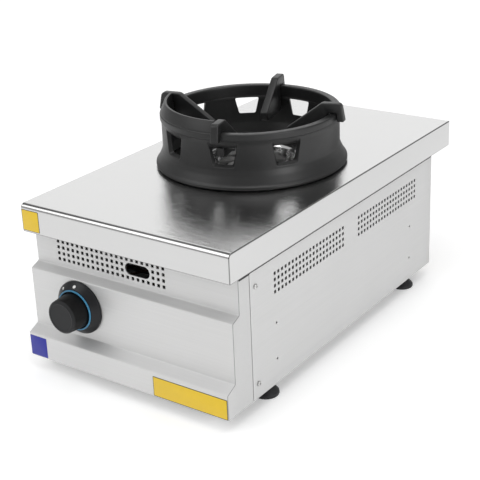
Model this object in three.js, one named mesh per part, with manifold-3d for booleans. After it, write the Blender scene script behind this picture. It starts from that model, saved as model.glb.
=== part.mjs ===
// Single-burner table-top wok range in folded stainless sheet, with a cast-iron wok ring.
// Millimetres, +Z up, +Y to the back, floor at z = 0. The origin is under the middle of the overall box.
import * as THREE from "three";
import { mergeVertices } from "three/addons/utils/BufferGeometryUtils.js";
import Module from "manifold-3d";

const manifold = await Module();
manifold.setup();

// ---------------------------------------------------------------- driving dimensions
const sheet = 1.5; // stainless sheet of every folded panel
const seat = 0.3; // clearance between two pieces that touch

// Heights here are above the floor, depths are from the front face of the worktop's lip.
const worktop = { width: 400, depth: 700, height: 283, lip: 46, frontRadius: 8 };
const body = { inset: 3, overhang: 66, bottom: 24 };

// Front fascia: the face's depth at each level, and how far each level is below the worktop's top.
const fascia = {
  strip: 23,
  panel: 6,
  lip: -14,
  stripEnd: 104,
  panelStart: 111,
  panelEnd: 208,
  lipStart: 217.5,
  seam: 50,
  topFlange: 18,
  bottomFlange: 26,
  tabReach: 28,
  tabFoot: 10,
};

// Square vent holes, in rows below the worktop's top.
const vent = { hole: 5.5, pitch: 10, rows: 4 };
const frontVent = { columns: 22, margin: 48, drop: 61.5 };
const sideVent = { front: 116, rear: 66.5, between: 51.5, drop: 74.5 };
const lightingSlot = { column: 16, length: 48, height: 20, rows: 2, columns: 5 };

const sideScrew = { y: 65, drop: 75, rise: 24, shank: 2, head: 4.2, headHeight: 2.4, length: 9 };
const sideHole = { radius: 2, front: 117, rear: 83.5, drops: [156, 217] };

const foot = {
  inset: 22,
  front: 115,
  rear: 69,
  padRadius: 21,
  neckRadius: 9,
  studRadius: 5,
  studFoot: 10,
  studRise: 26,
};

const ringStand = {
  y: 350,
  height: 91,
  rimOuter: 151,
  rimInner: 138,
  rimHeight: 12,
  innerBand: 17,
  wallOuter: 149,
  wallInner: 141.5,
  flare: 161.5,
  flareHeight: 31,
};
// A window is drawn on the wall's inner face, and its draft opens it out on every side toward the outer face.
const ringWindow = {
  first: 47,
  pitch: 40,
  count: 8,
  bottom: 38.5,
  height: 33,
  topWidth: 42,
  bottomWidth: 28,
  corner: 5,
  draft: 4,
};
// Raised guard on the rim, from one finger to the next one round.
const guard = { from: 2, top: 109, edge: 3, foot: 3 };
const finger = {
  first: 14,
  count: 4,
  thickness: 13,
  tip: 65,
  tipDrop: 44,
  crest: 108,
  crestRadius: 126,
  tab: 7,
  tabFlare: 6,
  tabDrop: 13,
  webDrop: 42,
};

const bowl = { overlap: 10, wallGap: 3, taper: 5, neckGap: 6, beadHeight: 3.2, depth: 42, neckRise: 11, sheet: 1.2 };
const pot = { radius: 50, wall: 4, top: 30, bottom: 118 };
const opening = { radius: pot.radius + 30, collar: 7 };
const cap = { overhang: 4, top: 14, bore: 12, ports: 10, portWidth: 3, skirt: 6 };
const mixer = {
  drop: 95,
  mouth: 195,
  mouthRadius: 24,
  mouthLength: 27,
  taperLength: 19,
  throat: 17,
  throatLength: 10,
  end: 21,
  wall: 4,
};
const shutter = { length: 20, wall: 1.8, setBack: 5, running: 0.5 };
const pilotSeat = { angle: -52.5, spread: 7.5, gap: 15.5, beyond: 9, width: 36, lug: 14, thickness: 2, drop: 66 };
const pilot = { radius: 4, top: 22, bottom: 96 };
const probe = { radius: 2.5, top: 19, bottom: 104 };

const knobAxis = { margin: 100, drop: 156 };
const bezel = { radius: 44, edge: 4, rise: 15.5, running: 1.4, wellDepth: 6, wall: 2.5, bore: 10 };
const dialRing = { inset: 0.4, width: 2.3, height: 2 };
const knob = { front: 45, faceRadius: 27, skirtRadius: 29.5, back: 14, chamfer: 2, wall: 2.6, boss: 8, grip: 12 };
const spindle = { radius: 4, flat: 2.8, back: 18, tip: 34, flatLength: 20 };
const valve = { front: 9, bushRadius: 9, bodyFront: 22, bodyRadius: 15, bodyBack: 58, coilRadius: 9.5, coilBack: 76 };
const pushRod = { radius: 1.7, length: 26 };

const rail = { y: 40, drop: 194, radius: 10.65, leftMargin: 69, rightMargin: 47, bend: 32, beyond: 12 };
const inlet = { hexRadius: 17, hexLength: 14, spigot: 10.5, bore: 8, spigotLength: 26 };
const supply = { radius: 5, bossRadius: 7.5, bossLength: 12 };
const injector = { gap: 27, hexRadius: 7, hexLength: 10, thread: 5, length: 24 };
const injectorSeat = { foot: 16, halfWidth: 16, rise: 16 };
const thinPipe = { pilot: 2, lead: 1.5, bend: 7, pilotLift: 10, leadLift: 5 };
const bar = { burnerWidth: 44, injectorWidth: 26, injectorDrop: 40, fold: 9, thickness: 2 };
const post = { width: 25, front: 84, thickness: 1.5 };
const base = { fold: 18, boss: 9.5, bossHeight: 9 };

const round = 16; // sides of a small round piece
const fine = 30; // sides of a large round piece

// ---------------------------------------------------------------- derived places
const top = worktop.height;
const halfBody = worktop.width / 2 - body.inset;
const bodyBack = worktop.depth - body.overhang;
const bodyBottom = body.bottom - top;
const underside = top - sheet - seat;
const innerHalf = halfBody - sheet - seat;
const baseZ = body.bottom + sheet + seat;
const ringZ = seat;
const knobZ = top - knobAxis.drop;
const railZ = top - rail.drop;
const potBottomZ = top - pot.bottom;
const mixerZ = top - mixer.drop;
const burnerBarTop = potBottomZ - seat;
const injectorBarTop = mixerZ - bar.injectorDrop;
const ringFacet = Math.cos(Math.PI / fine);
const pilotReach = pot.radius + pilotSeat.gap;
const wellRadius = knob.skirtRadius + bezel.running;
const dialInner = wellRadius + dialRing.inset;
const dialOuter = dialInner + dialRing.width;
const lipRadius = dialOuter + dialRing.inset;
const knobX = knobAxis.margin - halfBody;
const ventX = frontVent.margin - halfBody;
const footX = halfBody - foot.inset;
const footY = [foot.front, bodyBack - foot.rear];
const sideHoleY = [sideHole.front, bodyBack - sideHole.rear];
const screwDrops = [sideScrew.drop, -bodyBottom - sideScrew.rise];
const railLeft = rail.leftMargin - halfBody;
const railRight = halfBody - rail.rightMargin;
const railEnd = bodyBack + rail.beyond;
const injectorY = ringStand.y - mixer.mouth - injector.gap;
const injectorFace = injectorY + injector.hexLength + seat;
const injectorBarY = injectorFace + injectorSeat.foot / 2;

// Radius of a many-sided hole that clears a round rod by the seat clearance.
const clearOf = (radius, sides) => (radius + seat) / Math.cos(Math.PI / sides);

// Place of the pilot or the thermocouple on its circle round the burner's axis.
function besidePot(turn) {
  const angle = THREE.MathUtils.degToRad(pilotSeat.angle + turn);
  return [pilotReach * Math.cos(angle), pilotReach * Math.sin(angle)];
}
const pilotPlace = besidePot(pilotSeat.spread);
const probePlace = besidePot(-pilotSeat.spread);

const steel = () => new THREE.MeshStandardMaterial({ color: 0xc9cac8, roughness: 0.32, metalness: 0.9 });
const polished = () => new THREE.MeshStandardMaterial({ color: 0xd6d6d4, roughness: 0.16, metalness: 1 });
const castIron = () => new THREE.MeshStandardMaterial({ color: 0x2b2c2d, roughness: 0.62, metalness: 0.3 });
const blackPlastic = () => new THREE.MeshStandardMaterial({ color: 0x1b1c1e, roughness: 0.5, metalness: 0 });
const bluePlastic = () => new THREE.MeshStandardMaterial({ color: 0x4d8bab, roughness: 0.35, metalness: 0 });
const zinc = () => new THREE.MeshStandardMaterial({ color: 0xa9abab, roughness: 0.45, metalness: 0.9 });
const brass = () => new THREE.MeshStandardMaterial({ color: 0xb08d46, roughness: 0.35, metalness: 0.9 });
const copper = () => new THREE.MeshStandardMaterial({ color: 0xb5714a, roughness: 0.35, metalness: 0.9 });

// ---------------------------------------------------------------- solids
function manifoldOf(positions, triangles) {
  const mesh = new manifold.Mesh({
    numProp: 3,
    vertProperties: Float32Array.from(positions),
    triVerts: Uint32Array.from(triangles),
  });
  return new manifold.Manifold(mesh);
}

// A three.js geometry as a solid whose faces point out.
function toSolid(geometry) {
  const bare = geometry.clone();
  bare.deleteAttribute("normal");
  bare.deleteAttribute("uv");
  const merged = mergeVertices(bare, 1e-4);
  const corners = merged.index.array;
  const triangles = [];
  for (let i = 0; i < corners.length; i += 3) {
    const [a, b, c] = [corners[i], corners[i + 1], corners[i + 2]];
    if (a !== b && b !== c && c !== a) triangles.push(a, b, c);
  }
  const solid = manifoldOf(merged.attributes.position.array, triangles);
  return solid.volume() < 0 ? manifoldOf(merged.attributes.position.array, triangles.reverse()) : solid;
}

function toGeometry(solid) {
  const mesh = solid.getMesh();
  const geometry = new THREE.BufferGeometry();
  geometry.setAttribute("position", new THREE.BufferAttribute(mesh.vertProperties, 3));
  geometry.setIndex(new THREE.BufferAttribute(mesh.triVerts, 1));
  geometry.computeVertexNormals();
  return geometry;
}

function piece(name, solid, material) {
  const mesh = new THREE.Mesh(toGeometry(solid), material);
  mesh.name = name;
  return mesh;
}

// An outline, or several, carried along X: the outline's first coordinate is Y and its second is Z.
function alongX(outline, from, to, curveSegments = 4) {
  const geometry = new THREE.ExtrudeGeometry(outline, { depth: to - from, bevelEnabled: false, curveSegments });
  geometry.applyMatrix4(new THREE.Matrix4().set(0, 0, 1, from, 1, 0, 0, 0, 0, 1, 0, 0, 0, 0, 0, 1));
  return toSolid(geometry);
}

// An outline, or several, carried along Y: the outline's first coordinate is X and its second is Z.
function alongY(outline, from, to, curveSegments = 4) {
  const geometry = new THREE.ExtrudeGeometry(outline, { depth: to - from, bevelEnabled: false, curveSegments });
  geometry.applyMatrix4(new THREE.Matrix4().set(1, 0, 0, 0, 0, 0, -1, to, 0, 1, 0, 0, 0, 0, 0, 1));
  return toSolid(geometry);
}

function alongZ(outline, from, to, curveSegments = 4) {
  const geometry = new THREE.ExtrudeGeometry(outline, { depth: to - from, bevelEnabled: false, curveSegments });
  geometry.translate(0, 0, from);
  return toSolid(geometry);
}

// A block between two opposite corners.
function block(x0, x1, y0, y1, z0, z1) {
  const geometry = new THREE.BoxGeometry(x1 - x0, y1 - y0, z1 - z0);
  geometry.translate((x0 + x1) / 2, (y0 + y1) / 2, (z0 + z1) / 2);
  return toSolid(geometry);
}

// A profile of [radius, height] points turned about Z. It closes on itself, or starts and ends on the axis.
function turnedZ(profile, sides = round) {
  const onAxis = profile[0][0] === 0;
  const closed = onAxis ? profile : [...profile, profile[0]];
  const points = closed.map(([radius, height]) => new THREE.Vector2(radius, height));
  return toSolid(new THREE.LatheGeometry(points, sides).rotateX(Math.PI / 2));
}

// The same about Y, with points of [radius, depth] and depth growing to the back.
function turnedY(profile, sides = round) {
  const onAxis = profile[0][0] === 0;
  const closed = onAxis ? profile : [...profile, profile[0]];
  const points = closed.map(([radius, depth]) => new THREE.Vector2(radius, depth));
  return toSolid(new THREE.LatheGeometry(points, sides));
}

const rodZ = (radius, z0, z1, sides = round) =>
  turnedZ([[0, z0], [radius, z0], [radius, z1], [0, z1]], sides);
const rodY = (radius, y0, y1, sides = round) =>
  turnedY([[0, y0], [radius, y0], [radius, y1], [0, y1]], sides);

function shapeOf(points) {
  return new THREE.Shape(points.map(([x, y]) => new THREE.Vector2(x, y)));
}

function squareAt(x, y, size) {
  const half = size / 2;
  return shapeOf([[x - half, y - half], [x + half, y - half], [x + half, y + half], [x - half, y + half]]);
}

function circleAt(x, y, radius, Kind = THREE.Path) {
  const path = new Kind();
  path.absarc(x, y, radius, 0, Math.PI * 2);
  return path;
}

// The outline of a folded sheet: a line of bends and the same line offset by the thickness, to its left.
function foldedOutline(bends, thickness) {
  const points = bends.map(([x, y]) => new THREE.Vector2(x, y));
  const leftOf = (a, b) => new THREE.Vector2(a.y - b.y, b.x - a.x).normalize();
  const offset = points.map((point, i) => {
    const before = i > 0 ? leftOf(points[i - 1], point) : leftOf(point, points[1]);
    const after = i < points.length - 1 ? leftOf(point, points[i + 1]) : before;
    const mitre = before.clone().add(after).normalize();
    return point.clone().addScaledVector(mitre, thickness / mitre.dot(after));
  });
  return [...points, ...offset.reverse()].map((point) => [point.x, point.y]);
}
const foldedSheet = (bends, thickness = sheet) => shapeOf(foldedOutline(bends, thickness));

// A bent tube: straight runs between the given points, with a bend of the given radius at each corner.
function bentTube(points, radius, bend, sides, steps) {
  const corners = points.map((p) => new THREE.Vector3(...p));
  const path = new THREE.CurvePath();
  let start = corners[0];
  for (let i = 1; i < corners.length - 1; i++) {
    const into = corners[i].clone().sub(corners[i - 1]).normalize();
    const out = corners[i + 1].clone().sub(corners[i]).normalize();
    const bendStart = corners[i].clone().addScaledVector(into, -bend);
    const bendEnd = corners[i].clone().addScaledVector(out, bend);
    path.add(new THREE.LineCurve3(start, bendStart));
    path.add(new THREE.QuadraticBezierCurve3(bendStart, corners[i], bendEnd));
    start = bendEnd;
  }
  path.add(new THREE.LineCurve3(start, corners.at(-1)));
  const section = new THREE.Shape();
  section.absarc(0, 0, radius, 0, Math.PI * 2);
  return toSolid(
    new THREE.ExtrudeGeometry(section, { extrudePath: path, steps, curveSegments: sides / 2, bevelEnabled: false }),
  );
}

// ---------------------------------------------------------------- worktop
// Side outline of the worktop pan, with its rolled front edge, drawn in from the outer skin by an inset.
function panOutline(inset) {
  const { depth, lip, frontRadius } = worktop;
  const foot = inset ? -lip - 1 : -lip;
  const outline = new THREE.Shape();
  outline.moveTo(inset, foot);
  outline.lineTo(inset, -frontRadius);
  outline.absarc(frontRadius, -frontRadius, frontRadius - inset, Math.PI, Math.PI / 2, true);
  outline.lineTo(depth - inset, -inset);
  outline.lineTo(depth - inset, foot);
  return outline;
}

function worktopPan() {
  const half = worktop.width / 2;
  const skin = alongX(panOutline(0), -half, half);
  const hollow = alongX(panOutline(sheet), sheet - half, half - sheet);
  const collar = rodZ(opening.radius + sheet, -sheet - opening.collar, -sheet / 2, fine).translate(0, ringStand.y, 0);
  const mouth = rodZ(opening.radius, -sheet - opening.collar - 1, 1, fine).translate(0, ringStand.y, 0);
  return skin.subtract(hollow).add(collar).subtract(mouth);
}

// ---------------------------------------------------------------- cabinet
// The fascia's face, from the flange under the worktop down to the flange under the base.
function fasciaFace() {
  return [
    [fascia.strip + fascia.topFlange, -sheet - seat],
    [fascia.strip, -sheet - seat],
    [fascia.strip, -fascia.stripEnd],
    [fascia.panel, -fascia.panelStart],
    [fascia.panel, -fascia.panelEnd],
    [fascia.lip, -fascia.lipStart],
    [fascia.lip, bodyBottom],
    [fascia.lip + fascia.bottomFlange, bodyBottom],
  ];
}

function inLightingSlot(column, row) {
  const nearColumn = Math.abs(column - lightingSlot.column) <= (lightingSlot.columns - 1) / 2;
  const nearRow = Math.abs(row - (vent.rows - 1) / 2) < lightingSlot.rows / 2;
  return nearColumn && nearRow;
}

function frontVentHoles() {
  const holes = [];
  for (let row = 0; row < vent.rows; row++)
    for (let column = 0; column < frontVent.columns; column++) {
      const x = ventX + column * vent.pitch;
      const z = -frontVent.drop - row * vent.pitch;
      if (!inLightingSlot(column, row)) holes.push(squareAt(x, z, vent.hole));
    }
  return holes;
}

function lightingSlotOutline() {
  const x = ventX + lightingSlot.column * vent.pitch;
  const z = -frontVent.drop - ((vent.rows - 1) / 2) * vent.pitch;
  const radius = lightingSlot.height / 2;
  const reach = lightingSlot.length / 2 - radius;
  const slot = new THREE.Shape();
  slot.absarc(x + reach, z, radius, -Math.PI / 2, Math.PI / 2);
  slot.absarc(x - reach, z, radius, Math.PI / 2, (Math.PI * 3) / 2);
  return slot;
}

function screwHoles(side) {
  const holes = screwDrops.map((drop) => circleAt(sideScrew.y, -drop, sideScrew.shank + seat, THREE.Shape));
  return alongX(holes, side * halfBody - 5, side * halfBody + 5);
}

// One end of the fascia: a cheek that closes the profile, and a joggled tab behind the side panel for its screws.
function fasciaEnd(side) {
  const face = fasciaFace().slice(1, -1);
  const cheekOutline = shapeOf([...face, [fascia.seam, bodyBottom], [fascia.seam, -sheet - seat]]);
  const spanX = (from, to) => [Math.min(side * from, side * to), Math.max(side * from, side * to)];
  const cheek = alongX(cheekOutline, ...spanX(halfBody - sheet, halfBody));
  const tabOuter = halfBody - sheet - seat;
  const tabTop = -fascia.topFlange;
  const tabBottom = bodyBottom + fascia.tabFoot;
  const tabBack = fascia.seam + fascia.tabReach;
  const tab = block(...spanX(tabOuter - sheet, tabOuter), fascia.seam - 3, tabBack, tabBottom, tabTop);
  const joggle = block(...spanX(tabOuter - sheet, halfBody), fascia.seam - 3, fascia.seam, tabBottom, tabTop);
  return cheek.add(tab).add(joggle);
}

function frontFascia() {
  const face = alongX(foldedSheet(fasciaFace()), -halfBody, halfBody);
  const holes = alongY([...frontVentHoles(), lightingSlotOutline()], fascia.strip - 2, fascia.strip + sheet + 2, 6);
  const shaftHole = alongY(
    circleAt(knobX, -knobAxis.drop, bezel.bore + 1, THREE.Shape),
    fascia.panel - 1,
    fascia.panel + sheet + 1,
    6,
  );
  const whole = face.add(fasciaEnd(-1)).add(fasciaEnd(1));
  return whole.subtract(holes).subtract(shaftHole).subtract(screwHoles(-1)).subtract(screwHoles(1));
}

// Outlines of everything that is cut through a side panel: two fields of vents, fixing holes and screw holes.
function sidePanelHoles() {
  const holes = [];
  const bothFields = bodyBack - sideVent.rear - sideVent.front - sideVent.between;
  const gaps = Math.floor(bothFields / 2 / vent.pitch);
  const rearField = bodyBack - sideVent.rear - gaps * vent.pitch;
  for (const firstY of [sideVent.front, rearField])
    for (let row = 0; row < vent.rows; row++)
      for (let column = 0; column <= gaps; column++)
        holes.push(squareAt(firstY + column * vent.pitch, -sideVent.drop - row * vent.pitch, vent.hole));
  for (const y of sideHoleY)
    for (const drop of sideHole.drops) holes.push(circleAt(y, -drop, sideHole.radius, THREE.Shape));
  for (const drop of screwDrops)
    holes.push(circleAt(sideScrew.y, -drop, sideScrew.shank + seat, THREE.Shape));
  return holes;
}

function sidePanel() {
  const front = fascia.seam + seat;
  const plate = block(-sheet / 2, sheet / 2, front, bodyBack, bodyBottom, -sheet - seat);
  return plate.subtract(alongX(sidePanelHoles(), -sheet, sheet, 4));
}

function rearPanel() {
  const outline = shapeOf([
    [-innerHalf, body.bottom],
    [innerHalf, body.bottom],
    [innerHalf, underside],
    [-innerHalf, underside],
  ]);
  outline.holes.push(circleAt(railRight, railZ, rail.radius + 1.5));
  return alongY(outline, bodyBack - sheet, bodyBack);
}

// Base tray: a flat floor that rests on the fascia's bottom flange, with folds up at the sides and back.
function baseTray() {
  const front = fascia.lip + sheet + seat;
  const back = bodyBack - sheet - seat;
  const foldStart = fascia.seam + fascia.tabReach + 2;
  const sideFolds = foldedSheet([
    [-innerHalf, base.fold],
    [-innerHalf, 0],
    [innerHalf, 0],
    [innerHalf, base.fold],
  ]);
  let tray = alongY(sideFolds, foldStart, back)
    .add(block(-innerHalf, innerHalf, front, foldStart + 1, 0, sheet))
    .add(block(-innerHalf, innerHalf, back - sheet, back, 0, base.fold));
  for (const x of [-footX, footX])
    for (const y of footY) {
      tray = tray.add(rodZ(base.boss, sheet / 2, sheet + base.bossHeight, 6).translate(x, y, 0));
      tray = tray.subtract(rodZ(foot.studRadius + seat, -1, sheet + base.bossHeight + 1, 8).translate(x, y, 0));
    }
  return tray;
}

// An angle post for one corner of the cabinet, its corner edge at the outside.
function cornerPost(sideX, sideY) {
  const outerX = sideX * (innerHalf - sheet - seat);
  const outerY = sideY < 0 ? post.front : bodyBack - 2 * (sheet + seat);
  const inX = -sideX;
  const inY = sideY < 0 ? 1 : -1;
  const t = post.thickness;
  const outline = shapeOf([
    [outerX, outerY],
    [outerX + inX * post.width, outerY],
    [outerX + inX * post.width, outerY + inY * t],
    [outerX + inX * t, outerY + inY * t],
    [outerX + inX * t, outerY + inY * post.width],
    [outerX, outerY + inY * post.width],
  ]);
  return alongZ(outline, baseZ + sheet + seat, underside);
}

// A channel across the cabinet, with an ear at each end against the side panel.
function crossBar(middleY, width, topZ) {
  const [front, back] = [middleY - width / 2, middleY + width / 2];
  const channel = foldedSheet(
    [
      [back, topZ - bar.fold],
      [back, topZ],
      [front, topZ],
      [front, topZ - bar.fold],
    ],
    bar.thickness,
  );
  const ear = (side) => {
    const [near, far] = [side * (innerHalf - bar.thickness), side * innerHalf];
    return block(Math.min(near, far), Math.max(near, far), front, back, topZ - 3 * bar.fold, topZ);
  };
  return alongX(channel, -innerHalf, innerHalf).add(ear(-1)).add(ear(1));
}

// ---------------------------------------------------------------- feet
function footPad() {
  const { padRadius, neckRadius, studRadius, studFoot } = foot;
  const neckTop = baseZ - seat;
  return turnedZ(
    [
      [0, 0],
      [padRadius - 1.5, 0],
      [padRadius, 2],
      [padRadius - 1, 6],
      [padRadius * 0.72, 11],
      [neckRadius, 17],
      [neckRadius, neckTop],
      [studRadius + seat, neckTop],
      [studRadius + seat, studFoot],
      [0, studFoot],
    ],
    12,
  );
}

const footStud = () => rodZ(foot.studRadius, foot.studFoot + seat, baseZ + foot.studRise, 8);

// Pan-head screw along +X, with the underside of its head at x = 0.
function panScrew() {
  const { shank, head, headHeight, length } = sideScrew;
  return turnedZ(
    [
      [0, headHeight],
      [head * 0.6, headHeight],
      [head, headHeight * 0.4],
      [head, 0],
      [shank, 0],
      [shank, -length],
      [0, -length],
    ],
    6,
  );
}

// ---------------------------------------------------------------- wok ring
function ringBody() {
  const { height, rimOuter, rimInner, rimHeight, innerBand, wallOuter, wallInner, flare, flareHeight } = ringStand;
  const rimFoot = height - rimHeight;
  return turnedZ(
    [
      [wallInner + 4, 0],
      [flare - 5, 0],
      [flare, 6],
      [flare - 2, 13],
      [wallOuter + 4, 22],
      [wallOuter, flareHeight],
      [wallOuter, rimFoot - 2],
      [rimOuter, rimFoot],
      [rimOuter, height - 2],
      [rimOuter - 2, height],
      [rimInner + 2, height],
      [rimInner, height - 2],
      [rimInner, height - innerBand + 2],
      [wallInner, height - innerBand],
      [wallInner, flareHeight - 8],
    ],
    fine,
  );
}

// A window's outline, grown by a margin on every side: wide at the top, with rounded corners at the narrow bottom.
function windowOutline(margin) {
  const corner = ringWindow.corner + margin / 2;
  const bottom = ringWindow.bottom - margin;
  const top = ringWindow.bottom + ringWindow.height + margin;
  const [halfTop, halfBottom] = [ringWindow.topWidth / 2 + margin, ringWindow.bottomWidth / 2 + margin];
  const outline = new THREE.Shape();
  outline.moveTo(halfTop, top);
  outline.lineTo(-halfTop, top);
  outline.lineTo(-halfBottom - 1, bottom + corner);
  outline.quadraticCurveTo(-halfBottom, bottom, -halfBottom + corner, bottom);
  outline.lineTo(halfBottom - corner, bottom);
  outline.quadraticCurveTo(halfBottom, bottom, halfBottom + 1, bottom + corner);
  return outline.getPoints(2).slice(0, -1);
}

// A solid between two outlines in X and Z that have as many points, each at its own depth along Y.
function loftedY(frontOutline, frontY, backOutline, backY) {
  const count = frontOutline.length;
  const corners = [
    ...frontOutline.map((point) => new THREE.Vector3(point.x, frontY, point.y)),
    ...backOutline.map((point) => new THREE.Vector3(point.x, backY, point.y)),
  ];
  const index = [];
  for (const [a, b, c] of THREE.ShapeUtils.triangulateShape(frontOutline, [])) {
    index.push(a, b, c);
    index.push(count + c, count + b, count + a);
  }
  for (let i = 0; i < count; i++) {
    const next = (i + 1) % count;
    index.push(next, i, count + i);
    index.push(next, count + i, count + next);
  }
  const geometry = new THREE.BufferGeometry().setFromPoints(corners);
  geometry.setIndex(index);
  return toSolid(geometry);
}

// A cutter for the window that faces -Y. Its sides keep the same draft beyond both faces of the wall.
function windowCutter() {
  const { wallInner, wallOuter, rimOuter } = ringStand;
  const slope = ringWindow.draft / (wallOuter - wallInner);
  const [inner, outer] = [wallInner - 8, rimOuter + 5];
  const marginAt = (radius) => (radius - wallInner) * slope;
  return loftedY(windowOutline(marginAt(outer)), -outer, windowOutline(marginAt(inner)), -inner);
}

// The guard leans in from the rim's outer edge to a thin upper edge over the rim's bore.
function rimGuard() {
  const { height, rimOuter, rimInner } = ringStand;
  const { from, top, edge, foot } = guard;
  const whole = turnedZ(
    [
      [rimInner, height - foot],
      [rimOuter, height - foot],
      [rimOuter, height + 1],
      [rimInner + edge + 1.5, top - 2],
      [rimInner + edge, top],
      [rimInner, top],
    ],
    fine,
  );
  const turn = 360 / finger.count;
  const start = finger.first + from * turn;
  const away = (degrees, distance) => {
    const angle = THREE.MathUtils.degToRad(degrees);
    return new THREE.Vector2(distance * Math.cos(angle), distance * Math.sin(angle));
  };
  const clear = (finger.thickness / 2 + seat) / Math.sin(THREE.MathUtils.degToRad(turn / 2));
  const corner = away(start + turn / 2, clear);
  const [one, other] = [away(start, 2 * rimOuter), away(start + turn, 2 * rimOuter)];
  const sector = [corner, corner.clone().add(one), corner.clone().add(one).add(other), corner.clone().add(other)];
  return whole.intersect(alongZ(new THREE.Shape(sector), 0, 2 * top));
}

function wokRing() {
  const cutter = windowCutter();
  let ring = ringBody().add(rimGuard());
  for (let i = 0; i < ringWindow.count; i++) {
    const angle = ringWindow.first + i * ringWindow.pitch;
    ring = ring.subtract(cutter.rotate(0, 0, angle + 90));
  }
  return ring;
}

// Finger that hooks over the rim: a radial blade, its outline drawn in radius and height.
function ringFinger() {
  const { height, rimOuter, rimInner, innerBand, wallInner } = ringStand;
  const { tip, tipDrop, crest, crestRadius, tab, tabFlare, tabDrop, webDrop, thickness } = finger;
  const tabInner = rimOuter + seat;
  const tabOuter = tabInner + tab;
  const saddle = height + seat;
  const swing = seat + (thickness / 2) * Math.sin(Math.PI / fine);
  const rimFace = rimInner * ringFacet - swing;
  const wallFace = wallInner * ringFacet - swing;
  const tipTop = height - tipDrop + 12;
  const outline = shapeOf([
    [tip, height - tipDrop],
    [tip + 1, tipTop],
    [tip + 6, tipTop + 5],
    [crestRadius - 8, crest - 5],
    [crestRadius, crest],
    [tabOuter - 6, crest + 1],
    [tabOuter - 1, crest - 2],
    [tabOuter, crest - 7],
    [tabOuter + tabFlare, height - tabDrop + 2],
    [tabOuter + tabFlare - 2, height - tabDrop],
    [tabInner, height - tabDrop],
    [tabInner, saddle],
    [rimFace, saddle],
    [rimFace, height - innerBand - 2],
    [wallFace, height - innerBand - 5],
    [wallFace, height - webDrop],
    [wallFace - 20, height - webDrop - 2],
    [tip + 8, height - tipDrop - 3],
  ]);
  return alongY(outline, -thickness / 2, thickness / 2);
}

// ---------------------------------------------------------------- burner, in heights from the worktop's top
function burnerBowl() {
  const { overlap, wallGap, taper, neckGap, beadHeight, depth, neckRise } = bowl;
  const neck = pot.radius + neckGap;
  const wall = opening.radius - wallGap;
  const bead = opening.radius + overlap;
  const line = [
    [neck, neckRise - depth],
    [neck + 1.5, -depth - 2],
    [wall - taper, -depth],
    [wall, 0],
    [wall + 4, beadHeight],
    [bead - 2, beadHeight],
    [bead, seat + bowl.sheet],
  ];
  const pilotHole = rodZ(pilot.radius + 1.5, -depth - 12, -depth + 6, 8).translate(...pilotPlace, 0);
  const probeHole = rodZ(probe.radius + 1.5, -depth - 12, -depth + 6, 8).translate(...probePlace, 0);
  return turnedZ(foldedOutline(line, -bowl.sheet), 20).subtract(pilotHole).subtract(probeHole);
}

// Cast burner pot with its mixing tube: the tube's mouth is to the front and its bore opens into the pot.
function burnerBody() {
  const { radius, wall, top: potTop, bottom } = pot;
  const { drop, mouth, mouthRadius, mouthLength, throat, end } = mixer;
  const thin = mixer.wall;
  const shell = rodZ(radius, -bottom, -potTop, round);
  const hollow = rodZ(radius - wall, -bottom + wall + 1, -potTop + 1, round);
  const throatY = -mouth + mouthLength + mixer.taperLength;
  const throatEnd = throatY + mixer.throatLength;
  const tube = turnedY([
    [0, -mouth],
    [mouthRadius, -mouth],
    [mouthRadius, -mouth + mouthLength],
    [throat, throatY],
    [throat, throatEnd],
    [end, -radius],
    [end, wall - radius],
    [0, wall - radius],
  ]).translate(0, 0, -drop);
  const bore = turnedY([
    [0, -mouth - 1],
    [mouthRadius - thin, -mouth - 1],
    [mouthRadius - thin - 3, -mouth + 8],
    [throat - thin, throatY],
    [throat - thin, throatEnd],
    [end - thin, -radius],
    [end - thin, 0],
    [0, 0],
  ]).translate(0, 0, -drop);
  return shell.add(tube).subtract(hollow).subtract(bore);
}

// Burner cap: a skirt that drops into the pot, and flame ports cut through its sloping edge.
function burnerCap() {
  const { top: capTop, bore, ports, portWidth, skirt } = cap;
  const radius = pot.radius + cap.overhang;
  const seatZ = -pot.top + seat;
  const skirtOuter = pot.radius - pot.wall - 0.6;
  const skirtInner = skirtOuter - 3;
  let solid = turnedZ([
    [radius, seatZ],
    [radius, seatZ + 5],
    [radius - 9, -capTop],
    [bore + 2, -capTop],
    [bore, -capTop - 2],
    [bore, -capTop - 6],
    [skirtInner, -capTop - 9],
    [skirtInner, seatZ - skirt],
    [skirtOuter, seatZ - skirt],
    [skirtOuter, seatZ],
  ]);
  const port = block(skirtInner - 6, radius + 4, -portWidth / 2, portWidth / 2, seatZ + 2.5, -capTop - 3.5);
  for (let i = 0; i < ports; i++) solid = solid.subtract(port.rotate(0, 0, ((i + 0.5) * 360) / ports));
  return solid;
}

function pilotBurner() {
  return turnedZ(
    [
      [0, -pilot.bottom],
      [pilot.radius - 1, -pilot.bottom],
      [pilot.radius - 1, -pilot.bottom + 12],
      [pilot.radius, -pilot.bottom + 12],
      [pilot.radius, -pilot.top - 8],
      [pilot.radius - 1.5, -pilot.top],
      [0, -pilot.top],
    ],
    8,
  );
}

function thermocouple() {
  return turnedZ(
    [
      [0, -probe.bottom],
      [probe.radius, -probe.bottom],
      [probe.radius, -probe.top - 3],
      [1, -probe.top],
      [0, -probe.top],
    ],
    8,
  );
}

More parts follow.
